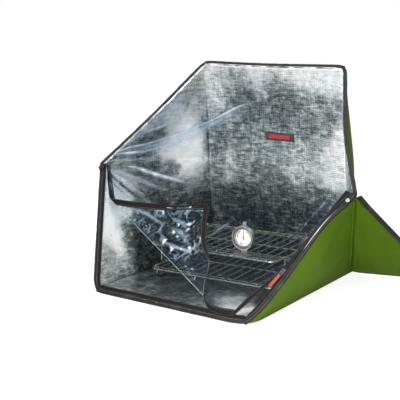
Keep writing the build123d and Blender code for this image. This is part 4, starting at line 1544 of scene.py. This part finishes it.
class COOKER_OT_window(Operator):
    """Stretch the clear film over the mouth and sew the zipper's free half round it"""

    bl_idname = "cooker.window"
    bl_label = "Clear Window"

    def execute(self, context):
        window = context.scene.cooker_window
        ring = window_ring()

        def place(flat):
            upper = flat.y > 0
            millimetres = flat * 1000 if upper else Vector((flat.x, flat.y + RISE, 0)) * 1000
            height, gleam = fold_share(millimetres, UPPER_FOLDS if upper else LOWER_FOLDS)
            gap = edge_gap(ring, flat)
            free = smooth((gap - 0.007) / 0.014)
            ripple = noise.noise(Vector((flat.x * 21, flat.y * 34, 2.0))) * 0.0014
            rise = 0.0004 + (height * window.fold_height + ripple + 0.0015) * free
            if not upper and gap < 0.03 and millimetres.x > 40:
                lift = carried(WINDOW_RAILS, millimetres * 0.001)
                rise += lift * smooth((0.298 - millimetres.y * 0.001) / 0.012)
            bend = smooth(0.5 + flat.y / 0.024)
            normal = LOWER_PLANE[1].lerp(UPPER_PLANE[1], bend).normalized()
            foot = UPPER @ flat if upper else LOWER @ (millimetres * 0.001)
            # The folds' painted reflection, broken up along them by noise
            broken = 0.8 + 0.4 * noise.noise(flat * 60)
            return foot + normal * rise, max(-1.0, min(1.0, gleam * broken))

        bm = film_patch(ring, 0.004)
        obj = film_piece("window_film", bm, place, "shell", ["film_upper", "film_lower"])
        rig.sheet(obj, flat=(0.624, 0.602), held="stretched", area=flat_area(ring),
                 rests_on=["left_tape_strip", "right_tape_strip"])

        zipper_half("left", LEFT_RAILS, LOWER, "shell",
                    ["zipper_window_tape_left", "zipper_window_teeth_left"])
        zipper_half("right", WINDOW_RAILS, LOWER, "shell",
                    ["zipper_window_tape_right", "zipper_window_teeth_right"], creased=False)
        return {"FINISHED"}


class COOKER_OT_flap(Operator):
    """Fold the window's opened corner back along its crease"""

    bl_idname = "cooker.flap"
    bl_label = "Folded Corner"

    def execute(self, context):
        toothed, sewn = rails(FLAP_KNOTS[1:-2], -1, False)
        middle = [Vector((*a.lerp(b, FILM_EDGE).xy, 0)) for a, b in zip(toothed, sewn)]
        ring = [mm(2, 0.6, 0), *(p for p in middle if p.y > 0.004), mm(368, 0.6, 0)]

        def place(flat):
            fold, gleam = fold_share(flat * 1000, FLAP_FOLDS)
            free = smooth((edge_gap(ring, flat) - 0.006) / 0.010)
            crest = max(0.0, 1 - abs(noise.noise(flat * 40 + Vector((2, 8, 5)))) * 3.6)
            rough = noise.fractal(flat * 42, 0.7, 2.0, 4)
            height = (0.0022 * fold + 0.0020 * crest + 0.0026 * rough) * free
            height = max(-FILM_REST, height) + carried(FLAP_RAILS, flat) - 0.0004
            # Painted light on the folded corner: glints, sheen along crests and swirls, stronger inside the corner away
            # from its edges
            spot = max(0.0, noise.noise(flat * 75 + Vector((4, 1, 9))) - 0.40) * 4.5
            bent = Vector((flat.x * 62, flat.y * 90, 3.0)) + noise.noise_vector(flat * 22) * 1.6
            swirl = 1 - abs(noise.noise(bent)) * 3.4
            patchy = max(0.0, 0.42 + noise.noise(flat * 45))
            sheen = max(crest, swirl, 0.0) ** 2 * patchy * 0.62 + spot
            inner = smooth((flat.x - 0.07) / 0.05) * smooth((0.335 - flat.x) / 0.05)
            inner *= smooth(flat.y / 0.02)
            total = max(gleam, sheen * (0.35 + 0.65 * inner))
            # Painted shade: the corner's film is darkened where no highlight is painted
            painted_shade = -0.55 * inner * smooth(0.5 + noise.noise(flat * 28) * 1.4)
            seen = min(1.0, total) if total > 0.12 else painted_shade
            return FLAP @ (flat + Vector((0, 0, height))), seen

        bm = film_patch(ring, 0.003)
        obj = film_piece("flap_sheet", bm, place, "window_flap", ["flap_film"])
        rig.sheet(obj, flat=(0.369, 0.138), held="folded", area=flat_area(ring),
                 rests_on=["window_film"])
        zipper_half("flap", FLAP_RAILS, FLAP, "window_flap", ["flap_tape", "flap_teeth"])
        crumple = FLAP.to_3x3() @ Vector((0, cos(CRUMPLE_LEAN), sin(CRUMPLE_LEAN)))
        for name in ("flap_sheet", "flap_tape_strip", "flap_teeth_row", "flap_stitches"):
            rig.squash(bpy.data.objects[name], "window_flap_fold", axis=crumple,
                      anchor=FLAP.translation, keep=CRUMPLE_KEEP)
        self.roll_crease()
        self.turn_tape()
        return {"FINISHED"}

    def roll_crease(self):
        """The film's rounded bend along the crease, between the window and the corner."""
        normal, away = LOWER_PLANE[1], FLAP.to_3x3().col[1]
        start, end = on(LOWER, *CREASE_TOP), on(LOWER, *CREASE_FOOT)
        run = (end - start).normalized()
        bm = bmesh.new()
        edge = bm.verts.new(start + normal * 0.0006), bm.verts.new(end + normal * 0.0006)
        bmesh.ops.spin(bm, geom=[*edge, bm.edges.new(edge)], cent=start + normal * 0.0014,
                       axis=run, angle=-pi, steps=6)
        for level in range(1, 60):
            cut(bm, start.lerp(end, level / 60), run, keep_all=True)
        facing(bm, -away)
        move(bm, lumpy(90, 0.0004))
        obj = piece("film_crease", bm, finish(clear_film), None, "clear_film")
        # Painted highlight along the crease, fainter near its top end
        shares = []
        for v in obj.data.vertices:
            t, _ = along_line(v.co, start, end)
            shares.append(0.35 + 0.38 * smooth(t / 0.4) * (0.85 + 0.5 * noise.noise(v.co * 70)))
        paint(obj, "gleam", shares)
        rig.blend(obj, "shell", "window_flap", start + normal * 0.0006, start + normal * 0.0022)

    def turn_tape(self):
        """The tape's fold at the crease's foot, where it passes from the corner to the window."""
        toothed, sewn = (FLAP @ crossing(line) for line in FLAP_RAILS)
        first, second = (LOWER @ line[0] for line in WINDOW_RAILS)
        edges = ([a, a.lerp(b, 0.5), b] for a, b in ((toothed, first), (sewn, second)))
        bm = facing(strip(*edges, 5), Vector((0.6, -0.8, 0.1)))
        obj = piece("tape_fold", bm, finish(zipper_cloth), None, "zipper_tape")
        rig.blend(obj, "window_flap", "shell", (toothed + sewn) / 2, (first + second) / 2)


# ---- Zipper slider and its pull ----
def wear(name, material):
    """Paints a CAD node whose shape is right."""
    materials = NODES[name].data.materials
    materials.clear()
    materials.append(material)


class COOKER_OT_pull(Operator):
    """Finish the metal slider, its ring and the moulded pull tab"""

    bl_idname = "cooker.pull"
    bl_label = "Slider and Pull"

    def execute(self, context):
        for name in ("zipper_slider", "pull_ring"):
            wear(name, finish(brushed_steel, "Slider Metal", (0.15, 0.135, 0.165), 0.34, 0.5))
        colour = tuple(context.scene.cooker_window.tab_colour)
        bm = from_node("pull_tab")
        low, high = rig.box("pull_tab")
        middle, half = (low + high) / 2, (high - low).length / 2
        run = LOWER.to_3x3() @ (mm(ELBOW_ROW, 298, 0) - mm(SLIDER_ROW, 118, 0))
        tab = frame_matrix(middle, run.cross(LOWER_PLANE[1]), run)
        bmesh.ops.scale(bm, vec=(0.72, 1, 1), space=tab.inverted(), verts=bm.verts)

        def lifted(v):
            """Off the teeth, more at the tab's free end."""
            trail = -(v.co - middle).dot(run.normalized()) / half
            return v.co + LOWER_PLANE[1] * (0.0012 + 0.0010 * trail)

        move(bm, lifted)
        obj = piece("pull_tab_moulding", bm, finish(moulded, "Pull Tab", colour, 0.5), "pull",
                    "pull_plastic", ["pull_tab"])
        round_edges(obj, 0.0006)
        return {"FINISHED"}


# ---- Ears, pinched out of the fold between side and wing ----
def ear_matrix(side):
    """Frame of one ear, from the fold's foot up the fold, Z through its cloth."""
    origin = mm(193.145 * side, 229.194, -0.601)
    x = Vector((0.327875 * side, -0.717467, 0.614605))
    z = Vector((0.186588 * side, 0.686932, 0.70236))
    return frame_matrix(origin, x, z.cross(x))


class COOKER_OT_ears(Operator):
    """Pinch the two cloth ears out of the rear folds and bind their top edges"""

    bl_idname = "cooker.ears"
    bl_label = "Gusset Ears"

    def execute(self, context):
        for word, side in (("right", 1), ("left", -1)):
            body = f"ear_{word}"
            matrix = ear_matrix(side)
            back = matrix.inverted()
            ring = [mm(0, 0, 0), mm(365, 0, 0), mm(187, 184, 0)]

            def plump(v):
                flat = back @ v.co
                level = Vector((flat.x, flat.y, 0))
                edge = edge_gap(ring, level)
                rise = 0.0016 * smooth(edge / 0.035)
                wave = noise.noise(level * 16) * 0.003 * smooth(edge / 0.03)
                thin = 1 - 0.45 * (1 - smooth(edge / 0.012))
                near_fold = smooth(flat.y / 0.02)
                outward = (flat.z > 0.0012) - (flat.z < -0.0012)
                flat.z = flat.z * (thin + (1 - thin) * (1 - near_fold))
                flat.z += (rise * outward + wave) * near_fold
                return matrix @ flat

            for layer in ("front", "rear"):
                node = f"{body}_{layer}"
                bm = ruled(from_node(node), matrix, 0.009, 0.009)
                move(bm, plump)
                lay_cloth(bm, matrix)
                piece(f"{node}_cloth", bm, finish(nylon_cloth), body, "nylon_cover", [node])
            bm = ruled(from_node(f"{body}_binding"), matrix, 0.006)
            far = max((back @ v.co).x for v in bm.verts)
            reach = matrix.to_3x3() @ mm(7, -3, 0)
            move(bm, lambda v: v.co + reach * smooth(((back @ v.co).x - far + 0.02) / 0.018))
            obj = piece(f"{body}_tape", bm, finish(edge_binding), body, "black_binding",
                        [f"{body}_binding"])
            round_edges(obj, 0.0009)
        return {"FINISHED"}


# ---- Label, snaps and carry handle ----
class COOKER_OT_trim(Operator):
    """Sew on the blank label, set the snaps and stitch the carry handle"""

    bl_idname = "cooker.trim"
    bl_label = "Label, Snaps and Handle"

    def execute(self, context):
        inner = wall_frame("back", inward=True)
        bm = ruled(from_node("label"), inner, 0.004, 0.004)
        low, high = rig.box("label")
        middle = inner.copy()
        middle.translation = (low + high) / 2
        bmesh.ops.scale(bm, vec=(1.15, 1.1, 1), space=middle.inverted(), verts=bm.verts)
        lay_cloth(bm, inner)
        outward = WALLS["back"][1]
        edge = edge_distance("back", middle.translation, LINING_DEPTH)
        shift = outward * (swell("back", middle.translation, edge) - 0.0014)
        middle.translation += shift
        bmesh.ops.translate(bm, vec=shift, verts=bm.verts)
        obj = piece("label_cloth", bm, finish(woven_web, "Label Weave", (0.022, 0.021, 0.021)),
                    "shell", "label_weave", ["label"])
        round_edges(obj, 0.0002, 1)
        bm = bmesh.new()
        middle.translation += inner.to_3x3().col[2] * 0.0004
        size = Matrix.Diagonal((0.054, 0.0088, 0.0006, 1))
        bmesh.ops.create_cube(bm, size=1.0, matrix=middle @ size)
        piece("label_bar", bm, finish(moulded, "Label Bar", (0.55, 0.02, 0.03), 0.6), "shell",
              "label_weave", soft=False)

        wear("snaps", finish(snap_cap))

        outer = wall_frame("back")
        bm = ruled(from_node("carry_handle"), outer, 0.006)
        lay_cloth(bm, outer)
        move(bm, lambda v: v.co + outward * swell("back", v.co, edge_distance("back", v.co, 0.0)))
        obj = piece("handle_webbing", bm, finish(woven_web, "Webbing", (0.02, 0.02, 0.021)),
                    "shell", "webbing", ["carry_handle"])
        round_edges(obj, 0.0005)
        return {"FINISHED"}


# ---- Rack and thermometer ----
class COOKER_OT_rack(Operator):
    """Plate the two-tier wire rack"""

    bl_idname = "cooker.rack"
    bl_label = "Wire Rack"

    def execute(self, context):
        for name in NODES:
            if name.startswith("rack_"):
                wear(name, finish(bright_wire))
        return {"FINISHED"}


def spun(spots, matrix, angle, steps, closed=False):
    """A line of spots swept round a frame's Z, facing along it."""
    bm = bmesh.new()
    verts = [bm.verts.new(spot) for spot in spots]
    edges = [bm.edges.new(pair) for pair in zip(verts, verts[1:])]
    bmesh.ops.spin(bm, geom=[*verts, *edges], cent=(0, 0, 0), axis=(0, 0, 1), angle=angle,
                   steps=steps, use_merge=closed)
    bmesh.ops.transform(bm, matrix=matrix, verts=bm.verts)
    return facing(bm, matrix.to_3x3().col[2])


# Each coloured arc: its colour, and where it starts and ends, in degrees from the right
DIAL_ARCS = {
    "dial_arc_red": ((0.62, 0.03, 0.05), 118, 186),
    "dial_arc_warning": ((0.62, 0.03, 0.10), 232, 266),
    "dial_arc_green": ((0.42, 0.55, 0.05), 8, 68),
    "dial_arc_amber": ((0.75, 0.55, 0.04), -72, -44),
}
# The rolled surround's profile, in millimetres: out from the dial's middle, and up from its face
SURROUND = (
    (17.4, 0.2), (17.9, 0.4), (18.2, 1.6), (19.0, 2.4), (21.6, 2.7), (23.2, 2.2), (23.7, 1.4),
)


class COOKER_OT_thermometer(Operator):
    """Finish the dial thermometer and mark its face"""

    bl_idname = "cooker.thermometer"
    bl_label = "Dial Thermometer"

    def execute(self, context):
        steel = finish(brushed_steel, "Housing Steel", (0.50, 0.51, 0.52), 0.22, 0.36)
        wear("dial_case", steel)
        wear("dial_stand", steel)
        wear("dial_lens", finish(lens_glass))
        wear("dial_plate", finish(dial_enamel))
        black = finish(moulded, "Pointer Black", (0.012, 0.012, 0.012), 0.45)
        wear("dial_pointer", black)
        low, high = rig.box("dial_plate")
        face = Vector(((low.x + high.x) / 2, low.y - 0.00008, (low.z + high.z) / 2))
        dial = frame_matrix(face, (1, 0, 0), (0, 0, 1))
        for name, (colour, start, end) in DIAL_ARCS.items():
            direction = Vector((cos(radians(start)), sin(radians(start)), 0))
            bm = spun((direction * 0.0132, direction * 0.0158), dial, radians(end - start), 24)
            piece(name, bm, finish(moulded, name.replace("_", " ").title(), colour, 0.5),
                  "thermometer", "dial_face", soft=False)
        bm = spun([mm(out, 0, up) for out, up in SURROUND], dial, 2 * pi, 64, closed=True)
        rolled = finish(brushed_steel, "Rolled Surround", (0.20, 0.205, 0.21), 0.3, 0.44)
        piece("dial_surround", bm, rolled, "thermometer", "case_steel")
        bm = bmesh.new()
        for step in range(31):
            angle = radians(218 - step * 256 / 30)
            size = (0.0026, 0.0006, 0.0001) if step % 5 == 0 else (0.0014, 0.0003, 0.0001)
            spoke = Matrix.Rotation(angle, 4, "Z") @ Matrix.Translation((0.0163, 0, 0.00005))
            bmesh.ops.create_cube(bm, size=1.0, matrix=dial @ spoke @ Matrix.Diagonal((*size, 1)))
        piece("dial_ticks", bm, black, "thermometer", "dial_face", soft=False)
        return {"FINISHED"}


def seen_rays(tree):
    """1 for a ray from the camera, or off metal or through glass, and 0 for the light itself."""
    path = tree.nodes.new("ShaderNodeLightPath")
    source = path.outputs["Is Camera Ray"]
    for kind in ("Is Glossy Ray", "Is Transmission Ray"):
        either = tree.nodes.new("ShaderNodeMath")
        either.operation = "MAXIMUM"
        tree.links.new(source, either.inputs[0])
        tree.links.new(path.outputs[kind], either.inputs[1])
        source = either.outputs["Value"]
    return source


class COOKER_OT_stage(Operator):
    """Set up the pale floor, the soft lights, the world and the camera"""

    bl_idname = "cooker.stage"
    bl_label = "Studio"

    def execute(self, context):
        for step in (self.lay_floor, self.set_world, self.hang_lights, self.set_camera):
            step(context.scene)
        context.scene.view_settings.view_transform = "Standard"
        return {"FINISHED"}

    def lay_floor(self, scene):
        """A wide floor that looks almost white but sends back less light than that."""
        bm = bmesh.new()
        bmesh.ops.create_grid(bm, x_segments=8, y_segments=8, size=6.0)
        mesh = bpy.data.meshes.new("studio_floor")
        bm.to_mesh(mesh)
        bm.free()
        colour = tuple(scene.cooker_stage.floor_colour)
        pale = Finish("Studio Floor", colour, 0.8)
        low = tuple(c * 0.985 for c in colour)
        pale.colour(pale.shade(pale.grain(0.6, 1), (0.3, low), (0.7, colour)))
        pale.shader.inputs["Emission Color"].default_value = (1, 1, 1, 1)
        glow = pale.sums("MULTIPLY", seen_rays(pale.tree), 0.86)
        pale.feed(glow, pale.shader.inputs["Emission Strength"])
        mesh.materials.append(pale.material)
        floor = bpy.data.objects.new("studio_floor", mesh)
        floor.location.z = -0.0012
        scene.collection.objects.link(floor)
        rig.stage(floor)

    def set_world(self, scene):
        """A white backdrop for what is seen, and a dim cool sky for the light itself."""
        world = bpy.data.worlds.new("Studio World")
        scene.world = world
        world.use_nodes = True
        tree = world.node_tree
        soft = tree.nodes["Background"]
        soft.inputs["Color"].default_value = (0.92, 0.96, 1.0, 1)
        soft.inputs["Strength"].default_value = 0.18
        seen = tree.nodes.new("ShaderNodeBackground")
        seen.inputs["Color"].default_value = (1, 1, 1, 1)
        mixer = tree.nodes.new("ShaderNodeMixShader")
        tree.links.new(seen_rays(tree), mixer.inputs["Fac"])
        tree.links.new(soft.outputs["Background"], mixer.inputs[1])
        tree.links.new(seen.outputs["Background"], mixer.inputs[2])
        tree.links.new(mixer.outputs["Shader"], tree.nodes["World Output"].inputs["Surface"])

    def hang_lights(self, scene):
        """A wide key light high in front, and a narrow low one on the near corner."""
        stage = scene.cooker_stage
        for name, place, aim, size, spread, power, colour in (
            ("key_light", (0.55, -1.3, 1.9), (0, 0, 0.2), 0.9, pi, stage.key_power,
             (1.0, 0.985, 0.96)),
            ("fill_light", (0.5, -1.0, 0.06), (0.17, -0.23, 0.03), 0.3, radians(44),
             stage.fill_power, (1.0, 0.99, 0.95)),
        ):
            data = bpy.data.lights.new(name, "AREA")
            data.energy = power
            data.size = size
            data.spread = spread
            data.color = colour
            lamp = bpy.data.objects.new(name, data)
            lamp.location = place
            look = Vector(aim) - Vector(place)
            lamp.rotation_mode = "QUATERNION"
            lamp.rotation_quaternion = look.to_track_quat("-Z", "Y")
            scene.collection.objects.link(lamp)

    def set_camera(self, scene):
        """The camera, turned, pitched and rolled by its three angles."""
        camera = bpy.data.objects.new("camera", bpy.data.cameras.new("camera"))
        turn, pitch, roll = radians(34.31), radians(11.3), radians(0.26)
        look = Vector((-sin(turn) * cos(pitch), cos(turn) * cos(pitch), -sin(pitch)))
        right = Vector((cos(turn), sin(turn), 0))
        up = right.cross(look)
        level_right = right * cos(roll) + up * sin(roll)
        level_up = up * cos(roll) - right * sin(roll)
        pose = Matrix((level_right, level_up, -look)).transposed().to_4x4()
        pose.translation = mm(989, -1561.5, 551)
        camera.matrix_world = pose
        camera.data.sensor_width = 36
        camera.data.lens = 78.4
        camera.data.clip_end = 50
        scene.collection.objects.link(camera)
        scene.camera = camera


class COOKER_PT_panel(Panel):
    """The cooker's sizes, colours and making, in the order it is sewn"""

    bl_idname = "COOKER_PT_panel"
    bl_label = "Box Solar Cooker"
    bl_space_type = "VIEW_3D"
    bl_region_type = "UI"
    bl_category = "Cooker"

    def draw(self, context):
        column = self.layout.column()
        for group in GROUPS:
            settings = getattr(context.scene, group)
            for name in settings.__annotations__:
                column.prop(settings, name)
            column.separator()
        for operator in OPERATORS:
            column.operator(operator.bl_idname)


GROUPS = {"cooker_shell": CookerShell, "cooker_window": CookerWindow, "cooker_stage": CookerStage}
OPERATORS = (
    COOKER_OT_stage,
    COOKER_OT_covers,
    COOKER_OT_cores,
    COOKER_OT_lining,
    COOKER_OT_seams,
    COOKER_OT_binding,
    COOKER_OT_zipper,
    COOKER_OT_window,
    COOKER_OT_flap,
    COOKER_OT_pull,
    COOKER_OT_ears,
    COOKER_OT_trim,
    COOKER_OT_rack,
    COOKER_OT_thermometer,
)


def register():
    for group, kind in GROUPS.items():
        bpy.utils.register_class(kind)
        setattr(bpy.types.Scene, group, PointerProperty(type=kind))
    for kind in (*OPERATORS, COOKER_PT_panel):
        bpy.utils.register_class(kind)


def unregister():
    for kind in (COOKER_PT_panel, *reversed(OPERATORS)):
        bpy.utils.unregister_class(kind)
    for group, kind in GROUPS.items():
        delattr(bpy.types.Scene, group)
        bpy.utils.unregister_class(kind)


def main():
    register()
    for operator in OPERATORS:
        group, name = operator.bl_idname.split(".")
        getattr(getattr(bpy.ops, group), name)()
    low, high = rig.bounds()
    sizes = {
        "loaded": [list(LOADED_LOW), list(LOADED_HIGH)],
        "finished": [list(low), list(high)],
    }
    with open("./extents.json", "w") as file:
        json.dump(sizes, file, indent=1)


if __name__ == "__main__":
    main()
